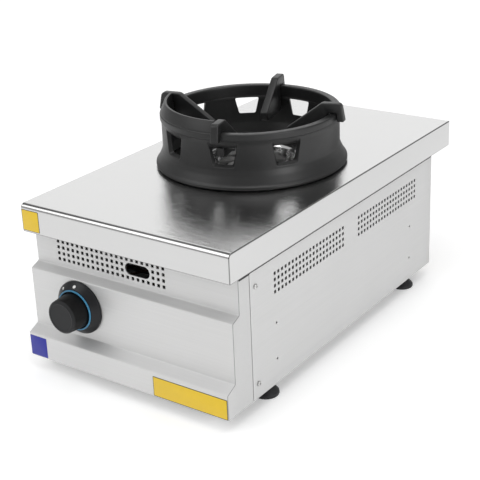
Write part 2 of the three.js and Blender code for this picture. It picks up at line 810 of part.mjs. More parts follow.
// Plate that holds the pilot and the thermocouple beside the pot, drawn with +X away from the pot.
function pilotBracket() {
  const { spread, beyond, width, lug, thickness, drop } = pilotSeat;
  const near = pot.radius + seat;
  const far = pilotReach + beyond;
  const half = width / 2;
  const out = pilotReach * Math.cos(THREE.MathUtils.degToRad(spread));
  const aside = pilotReach * Math.sin(THREE.MathUtils.degToRad(spread));
  const plate = block(near, far, -half, half, -drop, thickness - drop);
  const upright = block(near, near + thickness, -half, half, -drop - lug, thickness - drop);
  const holes = alongZ(
    [
      circleAt(out, aside, clearOf(pilot.radius, 8), THREE.Shape),
      circleAt(out, -aside, clearOf(probe.radius, 8), THREE.Shape),
    ],
    -drop - 1,
    thickness - drop + 1,
  );
  return plate.add(upright).subtract(holes);
}

// Sliding sleeve over the mixing tube's mouth that sets the burner's air.
function airShutter() {
  const inner = mixer.mouthRadius + shutter.running;
  const outer = inner + shutter.wall;
  const front = shutter.setBack - mixer.mouth;
  const back = front + shutter.length;
  return turnedY([[outer, front], [outer, back], [inner, back], [inner, front]]);
}

function injectorJet() {
  const { hexRadius, hexLength, thread, length } = injector;
  return turnedY(
    [
      [0, 0],
      [hexRadius, 0],
      [hexRadius, hexLength],
      [thread, hexLength],
      [thread, length - 6],
      [1.5, length],
      [0, length],
    ],
    12,
  );
}

// Angle bracket that stands on the front bar and holds the injector on the mixing tube's axis.
function injectorBracket() {
  const { foot: reach, halfWidth, rise } = injectorSeat;
  const face = injectorFace;
  const angle = foldedSheet(
    [
      [face, mixerZ + rise],
      [face, injectorBarTop + seat],
      [face + reach, injectorBarTop + seat],
    ],
    bar.thickness,
  );
  const hole = rodY(injector.thread + seat, face - 1, face + bar.thickness + 1, 12).translate(0, 0, mixerZ);
  return alongX(angle, -halfWidth, halfWidth).subtract(hole);
}

// ---------------------------------------------------------------- gas line, in depths from the fascia's panel
// Tap body: a shaft bushing, the plug housing with its inlet and outlet bosses, and the safety magnet's can.
function gasValve() {
  const { front, bushRadius, bodyFront, bodyRadius, bodyBack, coilRadius, coilBack } = valve;
  const middle = rail.y - fascia.panel;
  const housing = turnedY([
    [0, front],
    [bushRadius, front],
    [bushRadius, bodyFront],
    [bodyRadius, bodyFront],
    [bodyRadius, bodyBack],
    [coilRadius, bodyBack],
    [coilRadius, coilBack],
    [0, coilBack],
  ]);
  const inletLength = rail.drop - knobAxis.drop - rail.radius - seat;
  const inletBoss = rodZ(supply.bossRadius, -inletLength, 0, 12).translate(0, middle, 0);
  const outletReach = bodyRadius + supply.bossLength;
  const outletBoss = rodZ(supply.bossRadius, 0, outletReach, 12).rotate(0, 90, 0).translate(0, middle, 0);
  const shaftBore = rodY(spindle.radius + seat, front - 1, front + 18, 12);
  const rodBore = rodY(pushRod.radius + seat, front, coilBack - 8, 8);
  return housing.add(inletBoss).add(outletBoss).subtract(shaftBore).subtract(rodBore);
}

// Spindle with a flat at its tip for the knob.
function valveSpindle() {
  const shaft = rodY(spindle.radius, -spindle.tip, spindle.back, 12);
  const flat = block(-10, 10, -spindle.tip - 1, -spindle.tip + spindle.flatLength, spindle.flat, 10);
  return shaft.subtract(flat);
}

const valvePushRod = () =>
  rodY(pushRod.radius, spindle.back + seat, spindle.back + seat + pushRod.length, 8);

// Gas rail under the tap, bent back along the right-hand side to the rear.
function gasRail() {
  const { y, radius, bend } = rail;
  return bentTube([[railLeft, y, railZ], [railRight, y, railZ], [railRight, railEnd, railZ]], radius, bend, 8, 12);
}

// Hexagon fitting on the rail's end, locked against the rear panel, with the open spigot for the supply hose.
function inletFitting() {
  const front = bodyBack + seat;
  const hexBack = front + inlet.hexLength;
  const end = hexBack + inlet.spigotLength;
  return rodY(inlet.hexRadius, front, hexBack, 6)
    .add(rodY(inlet.spigot, front, end, 12))
    .subtract(rodY(clearOf(rail.radius, 12), front - 1, railEnd + seat, 12))
    .subtract(rodY(inlet.bore, front - 1, end + 1, 12));
}

// Tube from the tap's outlet to the injector.
function supplyPipe() {
  const startX = knobX + valve.bodyRadius + supply.bossLength + seat;
  return bentTube(
    [
      [startX, rail.y, knobZ],
      [startX + 34, rail.y, knobZ],
      [0, injectorY - 50, mixerZ - 24],
      [0, injectorY - 34, mixerZ],
      [0, injectorY - seat, mixerZ],
    ],
    supply.radius,
    13,
    6,
    16,
  );
}

// The pilot's tube and the thermocouple's lead pass over the injector's bar and under the mixing tube.
function pilotPipe() {
  const startX = knobX + pilot.radius;
  const tapTop = knobZ + valve.bodyRadius + seat;
  const low = injectorBarTop + thinPipe.pilotLift;
  const aside = 2 - pot.radius;
  const [x, y] = [pilotPlace[0], ringStand.y + pilotPlace[1]];
  return bentTube(
    [
      [startX, rail.y, tapTop],
      [startX, rail.y, low],
      [aside, injectorY - 18, low],
      [aside, y, low],
      [x, y, low],
      [x, y, top - pilot.bottom - seat],
    ],
    thinPipe.pilot,
    thinPipe.bend,
    6,
    16,
  );
}

function thermocoupleLead() {
  const start = fascia.panel + valve.coilBack + seat;
  const low = injectorBarTop + thinPipe.leadLift;
  const [x, y] = [probePlace[0], ringStand.y + probePlace[1]];
  return bentTube(
    [
      [knobX, start, knobZ],
      [knobX, start + 24, knobZ],
      [knobX, start + 24, low],
      [-pot.radius - 10, start + 78, low],
      [x, y, low],
      [x, y, top - probe.bottom - seat],
    ],
    thinPipe.lead,
    thinPipe.bend,
    6,
    16,
  );
}

// ---------------------------------------------------------------- knob, in depths from the fascia's panel
// Dial bezel: a hollow cone moulding with a well in its middle for the knob's skirt.
function dialBezel() {
  const { radius, edge, rise, wellDepth, wall, bore } = bezel;
  const wellFloor = -(rise - wellDepth - dialRing.height);
  const lip = -(rise - dialRing.height);
  return turnedY(
    [
      [radius, -seat],
      [radius, -edge + 1],
      [radius - 1, -edge],
      [lipRadius + 1, lip + 1],
      [lipRadius, lip],
      [wellRadius, lip],
      [wellRadius, wellFloor],
      [bore, wellFloor],
      [bore, wellFloor + wall],
      [wellRadius + wall - 1, wellFloor + wall],
      [radius - 2 * wall, -edge + 1],
      [radius - wall, -seat],
    ],
    20,
  );
}

function bezelRing() {
  const back = -(bezel.rise - dialRing.height) - seat;
  const front = back - dialRing.height;
  return turnedY(
    [
      [dialOuter, back],
      [dialOuter - 0.5, front],
      [dialInner, front],
      [dialInner, back],
    ],
    24,
  );
}

// Control knob: a tapered hollow skirt, with a boss bored to the spindle's D.
function controlKnob() {
  const { front, faceRadius, skirtRadius, back, chamfer, wall, boss, grip } = knob;
  const bossBack = grip - spindle.tip;
  const shell = turnedY(
    [
      [0, -front],
      [faceRadius - chamfer, -front],
      [faceRadius, -front + chamfer],
      [skirtRadius, -back],
      [skirtRadius - wall, -back],
      [faceRadius - wall, -front + wall + 2],
      [boss, -front + wall + 2],
      [boss, bossBack],
      [0, bossBack],
    ],
    24,
  );
  const bore = rodY(spindle.radius + seat, -spindle.tip - seat, -back + 1, 12);
  const land = block(-10, 10, -front, -spindle.tip + spindle.flatLength - seat, spindle.flat + seat, 10);
  return shell.subtract(bore.subtract(land));
}

// ---------------------------------------------------------------- assembly
const group = new THREE.Group();
const place = (parent, mesh, x, y, z) => {
  mesh.position.set(x, y, z);
  parent.add(mesh);
  return mesh;
};

// Everything is placed from the front face of the worktop's lip; this shifts it to the middle of the box.
const knobFace = fascia.panel - knob.front;
const range = new THREE.Group();
range.position.y = -(knobFace + worktop.depth) / 2;
group.add(range);

place(range, piece("worktop", worktopPan(), steel()), 0, 0, top);
place(range, piece("front_fascia", frontFascia(), steel()), 0, 0, top);
place(range, piece("side_panel_left", sidePanel(), steel()), -halfBody + sheet / 2, 0, top);
place(range, piece("side_panel_right", sidePanel(), steel()), halfBody - sheet / 2, 0, top);
place(range, piece("rear_panel", rearPanel(), steel()), 0, 0, 0);
place(range, piece("base_tray", baseTray(), zinc()), 0, 0, baseZ);

for (const [end, sideY] of [["front", -1], ["rear", 1]])
  for (const [hand, sideX] of [["left", -1], ["right", 1]])
    place(range, piece(`corner_post_${end}_${hand}`, cornerPost(sideX, sideY), zinc()), 0, 0, 0);

place(range, piece("burner_bar", crossBar(ringStand.y, bar.burnerWidth, burnerBarTop), zinc()), 0, 0, 0);
place(range, piece("injector_bar", crossBar(injectorBarY, bar.injectorWidth, injectorBarTop), zinc()), 0, 0, 0);

for (const [end, y] of [["front", footY[0]], ["rear", footY[1]]])
  for (const [hand, side] of [["left", -1], ["right", 1]]) {
    place(range, piece(`foot_pad_${end}_${hand}`, footPad(), blackPlastic()), side * footX, y, 0);
    place(range, piece(`foot_stud_${end}_${hand}`, footStud(), zinc()), side * footX, y, 0);
  }

for (const [level, drop] of [["upper", screwDrops[0]], ["lower", screwDrops[1]]])
  for (const [hand, side] of [["left", -1], ["right", 1]]) {
    const screw = piece(`side_screw_${hand}_${level}`, panScrew(), zinc());
    screw.rotation.y = (side * Math.PI) / 2;
    place(range, screw, side * (halfBody + seat), sideScrew.y, top - drop);
  }

const burner = new THREE.Group();
burner.position.set(0, ringStand.y, top);
range.add(burner);
place(burner, piece("burner_bowl", burnerBowl(), polished()), 0, 0, 0);
place(burner, piece("burner_body", burnerBody(), castIron()), 0, 0, 0);
place(burner, piece("burner_cap", burnerCap(), zinc()), 0, 0, 0);
place(burner, piece("pilot_burner", pilotBurner(), brass()), ...pilotPlace, 0);
place(burner, piece("thermocouple", thermocouple(), copper()), ...probePlace, 0);
const bracket = place(burner, piece("pilot_bracket", pilotBracket(), zinc()), 0, 0, 0);
bracket.rotation.z = THREE.MathUtils.degToRad(pilotSeat.angle);
place(burner, piece("air_shutter", airShutter(), zinc()), 0, 0, -mixer.drop);
place(range, piece("injector", injectorJet(), brass()), 0, injectorY, mixerZ);
place(range, piece("injector_bracket", injectorBracket(), zinc()), 0, 0, 0);

place(range, piece("gas_rail", gasRail(), zinc()), 0, 0, 0);
place(range, piece("gas_inlet_fitting", inletFitting(), brass()), railRight, 0, railZ);
place(range, piece("supply_pipe", supplyPipe(), copper()), 0, 0, 0);
place(range, piece("pilot_pipe", pilotPipe(), copper()), 0, 0, 0);
place(range, piece("thermocouple_lead", thermocoupleLead(), copper()), 0, 0, 0);

const tap = new THREE.Group();
tap.position.set(knobX, fascia.panel, knobZ);
range.add(tap);
place(tap, piece("gas_valve", gasValve(), brass()), 0, 0, 0);
place(tap, piece("valve_push_rod", valvePushRod(), zinc()), 0, 0, 0);
place(tap, piece("valve_spindle", valveSpindle(), zinc()), 0, 0, 0);
place(tap, piece("dial_bezel", dialBezel(), blackPlastic()), 0, 0, 0);
place(tap, piece("dial_ring", bezelRing(), bluePlastic()), 0, 0, 0);
place(tap, piece("knob", controlKnob(), blackPlastic()), 0, 0, 0);

const stand = new THREE.Group();
stand.position.set(0, ringStand.y, top + ringZ);
range.add(stand);
place(stand, piece("wok_ring", wokRing(), castIron()), 0, 0, 0);
for (let i = 0; i < finger.count; i++) {
  const blade = piece(`ring_finger_${i + 1}`, ringFinger(), castIron());
  blade.rotation.z = THREE.MathUtils.degToRad(finger.first + (i * 360) / finger.count);
  stand.add(blade);
}

export default group;
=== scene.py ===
"""Looks of a table-top wok range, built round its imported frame.

The file is laid out as an add-on and is run as a script. Every new piece is a surface worked out with
numpy, in metres, in the frame's own coordinates: +X to the right, +Y to the back, +Z up, floor at zero.
"""

import math

import bpy
import numpy as np
from bpy.props import FloatProperty, FloatVectorProperty, IntProperty, PointerProperty
from mathutils import Matrix, Vector


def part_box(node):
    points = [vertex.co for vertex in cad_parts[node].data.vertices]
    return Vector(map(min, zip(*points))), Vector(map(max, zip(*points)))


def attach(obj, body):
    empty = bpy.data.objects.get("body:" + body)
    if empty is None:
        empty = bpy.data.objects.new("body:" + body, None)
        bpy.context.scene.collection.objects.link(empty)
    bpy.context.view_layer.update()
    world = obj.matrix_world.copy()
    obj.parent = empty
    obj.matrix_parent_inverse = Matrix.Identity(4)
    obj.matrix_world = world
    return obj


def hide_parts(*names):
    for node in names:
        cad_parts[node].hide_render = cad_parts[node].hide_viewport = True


bl_info = {
    "name": "Wok Range",
    "version": (1, 0, 0),
    "blender": (4, 5, 0),
    "location": "View3D > Sidebar > Wok Range",
    "description": "Builds the visible pieces and finishes of a table-top wok range round its frame",
    "category": "Object",
}

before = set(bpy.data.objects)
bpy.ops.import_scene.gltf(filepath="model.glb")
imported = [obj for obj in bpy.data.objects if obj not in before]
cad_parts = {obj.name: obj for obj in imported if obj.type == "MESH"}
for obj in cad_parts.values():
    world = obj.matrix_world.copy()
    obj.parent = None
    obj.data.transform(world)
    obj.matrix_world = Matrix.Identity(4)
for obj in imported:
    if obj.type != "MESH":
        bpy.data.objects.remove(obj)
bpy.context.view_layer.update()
MM = 0.001
TAU = 2 * math.pi
# Clearance of pieces that seat on each other, and how far the sheets stop short of the seam between them.
SEAT = 0.3 * MM
SEAM_DRAW = 0.8 * MM


def low(node):
    """A node's lowest corner."""
    return np.array(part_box(node)[0])


def high(node):
    """A node's highest corner."""
    return np.array(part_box(node)[1])


def middle_of(node):
    """The middle of a node's box."""
    return (low(node) + high(node)) / 2


FRONT = low("worktop")[1]
TOP = high("worktop")[2]
HALF_TOP = high("worktop")[0]
HALF_BODY = high("side_panel_right")[0]
BODY_BACK = high("rear_panel")[1]
BODY_FOOT = low("front_fascia")[2]
RING_AXIS = middle_of("wok_ring")
KNOB_AXIS = middle_of("knob")


# ---------------------------------------------------------------- sizes and colours
def size(name, default, description):
    """A length, given in millimetres and kept in metres."""
    return FloatProperty(name=name, description=description, default=default * MM, unit="LENGTH", precision=5)


def tint(name, default, description):
    """A colour, in linear red, green and blue."""
    return FloatVectorProperty(
        name=name, description=description, default=default, size=3, min=0, max=1, subtype="COLOR"
    )


def level(name, default, description):
    """A share from zero to one."""
    return FloatProperty(name=name, description=description, default=default, min=0, max=1, subtype="FACTOR")


def bearing(name, degrees, description):
    """An angle, given in degrees and kept in radians."""
    return FloatProperty(name=name, description=description, default=math.radians(degrees), subtype="ANGLE")


def amount(name, default, description):
    """A number that is zero or more."""
    return FloatProperty(name=name, description=description, default=default, min=0)


def number(name, default, description, least=0):
    """A whole number."""
    return IntProperty(name=name, description=description, default=default, min=least)


class RangeCabinet(bpy.types.PropertyGroup):
    """Sizes of the folded sheet cabinet. Drops are below the worktop's top, depths behind its front face."""

    sheet: size("Sheet", 1.5, "Thickness of the stainless sheet")
    bend: size("Bend", 2.0, "Outer radius of a plain fold")
    roll: size("Front roll", 8.0, "Radius of the worktop's rolled front edge")
    edge: size("Edge", 1.6, "Rounding of a welded and ground corner")
    opening: size("Opening", 80.0, "Radius of the worktop's burner opening")
    collar: size("Collar", 7.0, "Depth of the opening's turned-down collar")
    strip: size("Strip depth", 23.0, "Depth of the fascia's upper strip")
    panel: size("Panel depth", 6.0, "Depth of the fascia's main panel")
    lip: size("Lip depth", -14.0, "Depth of the fascia's lower lip")
    strip_end: size("Strip end", 104.0, "Drop where the upper strip folds forward")
    panel_start: size("Panel start", 111.0, "Drop where the main panel starts")
    panel_end: size("Panel end", 208.0, "Drop where the main panel ends")
    lip_start: size("Lip start", 217.5, "Drop where the lower lip starts")
    seam: size("Seam", 50.0, "Depth of the seam between fascia and side panel")
    top_flange: size("Top flange", 18.0, "Width of the fascia's flange under the worktop")
    bottom_flange: size("Bottom flange", 26.0, "Width of the fascia's flange under the base")
    tab: size("Tab", 28.0, "Reach of the screw tab behind the side panel")
    hole: size("Vent hole", 5.5, "Side of a square vent hole")
    hole_corner: size("Vent corner", 0.9, "Corner radius of a vent hole")
    pitch: size("Vent pitch", 10.0, "Spacing of the vent holes")
    front_vents: size("Front vents", 61.5, "Drop of the front field's first row")
    side_vents: size("Side vents", 74.5, "Drop of the side fields' first row")
    front_margin: size("Front margin", 48.0, "First front vent from the cabinet's left side")
    side_front: size("Side front", 116.0, "Depth of the first side vent")
    side_rear: size("Side rear", 66.5, "Last side vent from the cabinet's back")
    side_between: size("Side gap", 51.5, "Least gap between the two side fields")
    slot_length: size("Slot length", 48.0, "Length of the lighting slot")
    slot_height: size("Slot height", 20.0, "Height of the lighting slot")
    front_columns: number("Columns", 22, "Columns of front vents", 6)
    rows: number("Rows", 4, "Rows of vents in every field", 2)
    slot_column: number("Slot column", 16, "Column under the slot's middle")
    shaft: size("Shaft hole", 11.0, "Radius of the hole for the tap's shaft")
    fixing_front: size("Front fixings", 117.0, "Depth of a side's front pair of small round holes")
    fixing_rear: size("Rear fixings", 83.5, "Rear pair of small round holes from the cabinet's back")
    fixing_upper: size("Upper fixings", 156.0, "Drop of the upper round holes")
    fixing_lower: size("Lower fixings", 217.0, "Drop of the lower round holes")
    fixing_hole: size("Fixing hole", 2.0, "Radius of a small round hole")
    screw: size("Screws", 65.0, "Depth of the side screws")
    screw_upper: size("Upper screw", 75.0, "Drop of the upper side screw")
    screw_lower: size("Lower screw", 24.0, "Height of the lower side screw above the panel's foot")
    screw_hole: size("Screw hole", 2.3, "Radius of a screw's hole")


class RangeRing(bpy.types.PropertyGroup):
    """Sizes of the cast ring and its fingers, from the ring's axis and foot."""

    rim_outer: size("Rim", 151.0, "Outer radius of the rim")
    rim_inner: size("Rim bore", 138.0, "Inner radius of the rim")
    wall_outer: size("Wall", 149.0, "Outer radius of the wall")
    wall_inner: size("Wall bore", 141.5, "Inner radius of the wall")
    flare: size("Flare", 161.5, "Radius of the flared foot")
    height: size("Height", 91.0, "Height of the ring")
    rim_height: size("Rim height", 12.0, "Height of the rim band outside")
    inner_band: size("Inner band", 22.5, "Height of the rim band inside")
    window_low: size("Window foot", 39.0, "Height of a window's lower edge inside")
    window_high: size("Window head", 66.5, "Height of a window's upper edge inside")
    window_wide: size("Window top", 42.0, "Width of a window at its upper edge inside")
    window_narrow: size("Window bottom", 28.0, "Width of a window at its lower edge inside")
    draft: size("Draft", 4.0, "How far a window opens out at its foot and sides toward the outside")
    head_draft: size("Head draft", 9.0, "How far a window opens out at its head toward the outside")
    guard: size("Guard", 109.0, "Height of the raised guard's edge")
    guard_edge: size("Guard edge", 3.0, "Thickness of the guard at its edge")
    guard_base: size("Guard base", 149.6, "Outer radius of the guard on the rim")
    casting: size("Casting edge", 1.2, "Rounding of the cast edges")
    first_window: bearing("First window", 47, "Angle of the first window")
    first_finger: bearing("First finger", 14, "Angle of the first finger")
    pitches: number("Pitches", 9, "Window pitches round the ring", 3)
    windows: number("Windows", 8, "Pitches that hold a window")
    thickness: size("Finger", 13.0, "Thickness of a finger")
    finger_edge: size("Finger edge", 2.0, "Rounding of a finger's edges")
    tip: size("Tip", 65.0, "Radius that a finger's tip reaches in to")
    tip_drop: size("Tip drop", 44.0, "Drop of a finger's tip below the rim")
    crest: size("Crest", 108.0, "Height of a finger's crest")
    crest_radius: size("Crest radius", 126.0, "Radius where a finger's crest starts")
    tab: size("Tab", 7.0, "Thickness of a finger's tab at the crest")
    tab_flare: size("Tab flare", 6.0, "How much further out the tab's foot reaches")


class RangeDial(bpy.types.PropertyGroup):
    """Sizes of the control knob and its bezel, with heights in front of the fascia's panel."""

    face: size("Face", 27.0, "Radius of the knob's face")
    skirt: size("Skirt", 29.5, "Radius of the knob's skirt")
    wall: size("Wall", 2.6, "Wall of the hollow knob")
    front: size("Front", 45.0, "Height of the knob's face")
    back: size("Back", 14.0, "Height of the knob's skirt edge")
    boss: size("Boss", 8.0, "Radius of the boss on the spindle")
    boss_back: size("Boss back", 22.0, "Height of the boss's open end")
    bore: size("Bore", 4.3, "Radius of the boss's bore")
    bore_end: size("Bore end", 34.3, "Height of the bore's blind end")
    bezel: size("Bezel", 44.0, "Radius of the bezel")
    cone_foot: size("Cone foot", 4.0, "Height of the foot of the bezel's cone")
    cone_head: size("Cone head", 34.6, "Radius of the head of the bezel's cone")
    shaft_bore: size("Shaft bore", 10.0, "Radius of the bezel's hole for the tap's shaft")
    bezel_rise: size("Bezel rise", 13.5, "Height of the bezel's lip")
    well: size("Well", 30.9, "Radius of the well round the skirt")
    well_floor: size("Well floor", 7.5, "Height of the well's floor")
    ring_inner: size("Ring bore", 31.3, "Inner radius of the blue ring")
    ring_outer: size("Ring", 33.6, "Outer radius of the blue ring")
    ring_height: size("Ring height", 2.0, "Height of the blue ring")
    mark: size("Mark", 2.7, "Radius of the white dot on the bezel")
    mark_place: size("Mark place", 38.2, "Radius on which the marks lie")
    flame_width: size("Flame width", 1.7, "Half width of the flame mark")
    flame_height: size("Flame height", 2.6, "Half height of the flame mark")
    flame_turn: bearing("Flame turn", 39, "Turn of the flame mark from the top")


class RangeFinish(bpy.types.PropertyGroup):
    """Colours of the finishes."""

    worktop: tint("Worktop", (0.60, 0.60, 0.598), "Satin steel of the worktop")
    panel: tint("Fascia", (0.68, 0.68, 0.678), "Brushed steel of the front")
    # Painted shade: the sides and back are the front's steel given a darker tone, for the lesser light that
    # falls on them.
    side: tint("Sides", (0.61, 0.61, 0.608), "Brushed steel of the sides and the back")
    # Painted shade: the galvanised tone is set darker than bare galvanised sheet, so that the cabinet's
    # inside seen through the vents reads as shaded.
    galvanised: tint("Galvanised", (0.30, 0.305, 0.305), "Galvanised sheet inside the cabinet")
    zinc: tint("Zinc", (0.60, 0.60, 0.59), "Zinc plate on screws and rods")
    bowl: tint("Bowl", (0.78, 0.78, 0.78), "Polished steel of the burner bowl")
    iron: tint("Cast iron", (0.0050, 0.0051, 0.0053), "Black coating of the ring")
    burner: tint("Burner", (0.060, 0.058, 0.055), "Bare iron of the burner pot")
    crown: tint("Burner cap", (0.36, 0.36, 0.355), "Cast and machined burner cap")
    brass: tint("Brass", (0.62, 0.45, 0.20), "Machined brass")
    # Painted shade: the copper is darker than its heat colour alone, so that the pipes seen through the
    # lighting slot read as shaded.
    copper: tint("Copper", (0.13, 0.07, 0.05), "Drawn copper tube, darkened by heat")
    knob: tint("Knob", (0.016, 0.0165, 0.0175), "Black plastic of the knob")
    bezel: tint("Bezel", (0.008, 0.0085, 0.010), "Black plastic of the bezel")
    dial: tint("Dial ring", (0.055, 0.235, 0.400), "Blue plastic of the dial ring")
    # Painted shadow: colour of the dark strips that stand in for the shadow gap under the worktop's lips.
    seal: tint("Seal", (0.035, 0.035, 0.036), "Dark rubber of the strips under the worktop's lips")
    foot: tint("Foot", (0.020, 0.020, 0.022), "Black plastic of the feet")
    yellow: tint("Yellow plate", (0.82, 0.56, 0.035), "Yellow adhesive film")
    blue: tint("Blue plate", (0.028, 0.034, 0.33), "Blue adhesive film")
    mark: tint("Marks", (0.80, 0.80, 0.78), "White marks on the bezel")
    grain: level("Grain", 0.5, "How strongly the brushed grain shows")


class RangeStage(bpy.types.PropertyGroup):
    """Camera, lights and floor."""

    camera: FloatVectorProperty(
        name="Camera", description="Place of the camera", default=(1.0657, -1.5040, 0.9247), subtype="XYZ"
    )
    azimuth: bearing("Azimuth", 35.70, "Turn of the view from +Y")
    elevation: bearing("Elevation", 21.37, "Tilt of the view below level")
    roll: bearing("Roll", -2.38, "Roll of the camera")
    lens: amount("Lens", 86.86, "Focal length in millimetres on a 36 mm wide frame")
    shift: FloatVectorProperty(
        name="Shift", description="Shift of the frame, in frame widths", default=(0.0, -0.07), size=2
    )
    sky: amount("Sky", 0.46, "Strength of the white surroundings")
    table: amount("Table", 0.25, "Glow of the lit white floor")


# ---------------------------------------------------------------- surfaces
def unit(vectors):
    """Vectors over their lengths."""
    return vectors / np.linalg.norm(vectors, axis=-1, keepdims=True)


def rounded(points, radii, steps=5, closed=False):
    """Line with its corners filleted: each corner becomes an arc that touches both of its runs."""
    points = np.asarray(points, float)
    if closed:
        points = np.vstack([points[-1:], points, points[:1]])
    radii = np.broadcast_to(radii, len(points) - 2)
    share = np.linspace(0, 1, steps + 1)[:, None]
    rows = [] if closed else [points[:1]]
    for before, corner, after, radius in zip(points[:-2], points[1:-1], points[2:], radii):
        back, on = unit(before - corner), unit(after - corner)
        half = math.acos(np.clip(back @ on, -1, 1)) / 2
        centre = corner + unit(back + on) * radius / math.sin(half)
        start = corner + back * radius / math.tan(half) - centre
        end = corner + on * radius / math.tan(half) - centre
        sweep = math.pi - 2 * half
        arc = (np.sin((1 - share) * sweep) * start + np.sin(share * sweep) * end) / math.sin(sweep)
        rows.append(centre + arc)
    if not closed:
        rows.append(points[-1:])
    return np.concatenate(rows)


def offset(line, distance, closed=False):
    """Line moved to its left by a distance, mitred at each of its points."""
    ring = np.vstack([line[-1:], line, line[:1]]) if closed else line
    runs = unit(np.diff(ring, axis=0))
    left = np.stack([-runs[:, 1], runs[:, 0]], 1)
    if not closed:
        left = np.vstack([left[:1], left, left[-1:]])
    mitre = left[:-1] + left[1:]
    return line + distance * 2 * mitre / (mitre**2).sum(1, keepdims=True)


def lengths_of(line):
    """Length along a line at each of its points."""
    return np.concatenate([[0], np.linalg.norm(np.diff(line, axis=0), axis=1).cumsum()])


def resampled(line, count):
    """Points at equal steps of length along a line."""
    lengths = lengths_of(line)
    at = np.linspace(0, lengths[-1], count)
    return np.stack([np.interp(at, lengths, values) for values in np.transpose(line)], 1)


def rounded_box(half_wide, half_high, radius):
    """Distance along each ray from the middle of a box to its outline, with round corners."""

    def reach(rays):
        along = np.abs(rays) + 1e-12
        straight = np.minimum(half_wide / along[:, 0], half_high / along[:, 1])
        centre = np.array([half_wide - radius, half_high - radius])
        toward = along @ centre
        inside = np.maximum(radius**2 - (centre @ centre - toward**2), 0)
        corner = (straight[:, None] * along > centre).all(1)
        return np.where(corner, toward + np.sqrt(inside), straight)

    return reach


def disc(radius):
    """Distance along each ray from the middle of a round hole to its outline."""
    return rounded_box(radius, radius, radius)


def softened(normals, distances, power):
    """Distance along each ray to an outline of straight sides, blended at the corners by a power mean."""

    def reach(rays):
        parts = np.clip(rays @ np.asarray(normals).T / distances, 0, None)
        return (parts**power).sum(1) ** (-1 / power)

    return reach


# Shares of a block's edge whose rays meet a vent hole's round corners.
VENT_SHARES = np.array([0, 0.08, 0.17, 0.83, 0.92])


def evenly(count):
    """Equal shares of one, from zero on."""
    return np.arange(count) / count


def circle(count):
    """Equal steps round a circle of radius one."""
    angle = evenly(count) * TAU
    return np.stack([np.cos(angle), np.sin(angle)], 1)


def polar(radius, turn, height):
    """Points at a radius, a turn and a height."""
    return np.stack([radius * np.cos(turn), radius * np.sin(turn), height], -1)


def hole(centre, half_block, shares, reach):
    """A hole for holed_grid in the middle of its block of cells."""
    centre = np.array(centre)
    return centre - half_block, centre + half_block, centre, shares, reach


def holed_grid(us, vs, holes=(), wrap=False):
    """Quads over the lines us and vs. Each hole takes a block of cells, and faces run from the block's
    border to the hole's outline, whose points lie on the rays from the hole's centre through the border.
    A hole is its block's low and high corner, its centre, the shares of a border edge, and its reach."""
    index = np.arange(len(us) * len(vs)).reshape(len(us), len(vs))
    if wrap:
        index[-1] = index[0]
    grid = np.stack(np.meshgrid(us, vs, indexing="ij"), -1).reshape(-1, 2)
    kept = np.ones((len(us) - 1, len(vs) - 1), bool)
    points, faces, count = [grid], [], len(grid)
    flat = np.arange(len(us) * len(vs)).reshape(len(us), len(vs))
    for block_low, block_high, centre, shares, reach in holes:
        i0, i1 = (int(np.abs(us - value).argmin()) for value in (block_low[0], block_high[0]))
        j0, j1 = (int(np.abs(vs - value).argmin()) for value in (block_low[1], block_high[1]))
        kept[i0:i1, j0:j1] = False

        def around(table):
            sides = [table[i0:i1, j0], table[i1, j0:j1], table[i1:i0:-1, j1], table[i0, j1:j0:-1]]
            return np.concatenate(sides)

        border = around(index)
        start = grid[around(flat)]
        run = np.roll(start, -1, 0) - start
        rays = unit((start[:, None] + run[:, None] * shares[:, None] - centre).reshape(-1, 2))
        outline = centre + rays * reach(rays)[:, None]
        ids = count + np.arange(len(outline)).reshape(-1, len(shares))
        faces.append(np.column_stack([border, np.roll(border, -1), np.roll(ids[:, 0], -1), ids[:, ::-1]]))
        points.append(outline)
        count += len(outline)
    i, j = np.nonzero(kept)
    faces.append(np.column_stack([index[i, j], index[i + 1, j], index[i + 1, j + 1], index[i, j + 1]]))
    return np.concatenate(points), faces


def edges_of(faces):
    """Each face's edges, from every corner to the next one."""
    return np.concatenate([np.stack([f, np.roll(f, -1, 1)], -1).reshape(-1, 2) for f in faces if len(f)])


def shell(outer, inner, faces):
    """Closed wall between two skins of the same layout, with a strip of quads along every open edge."""
    count = len(outer)
    edges = edges_of(faces)
    own, other = edges[:, 0] * count + edges[:, 1], edges[:, 1] * count + edges[:, 0]
    a, b = edges[~np.isin(own, other)].T
    strip = np.column_stack([b, a, a + count, b + count])
    back = [face[:, ::-1] + count for face in faces]
    return np.concatenate([outer, inner]), [*faces, *back, strip]


def joined(*parts):
    """Several closed shells as one mesh."""
    points, faces, count = [], [], 0
    for part_points, part_faces in parts:
        points.append(part_points)
        faces += [face + count for face in part_faces]
        count += len(part_points)
    return np.concatenate(points), faces


def mirrored(part):
    """The same shell on the other side of X = 0, with its faces still pointing out."""
    points, faces = part
    return points * (-1, 1, 1), [face[:, ::-1] for face in faces]


# Axes of a part's own frame, the last one the way it looks.
UP = np.eye(3)
FORWARD = np.array([[1, 0, 0], [0, 0, 1], [0, -1, 0]])
RIGHTWARD = np.array([[0, 1, 0], [0, 0, 1], [1, 0, 0]])
BACKWARD = np.array([[-1, 0, 0], [0, 0, 1], [0, 1, 0]])


def quads_between(lower, upper):
    """Quads round a ring of points from its lower rows to the rows above them."""
    return np.stack([lower, np.roll(lower, -1, 1), np.roll(upper, -1, 1), upper], -1)


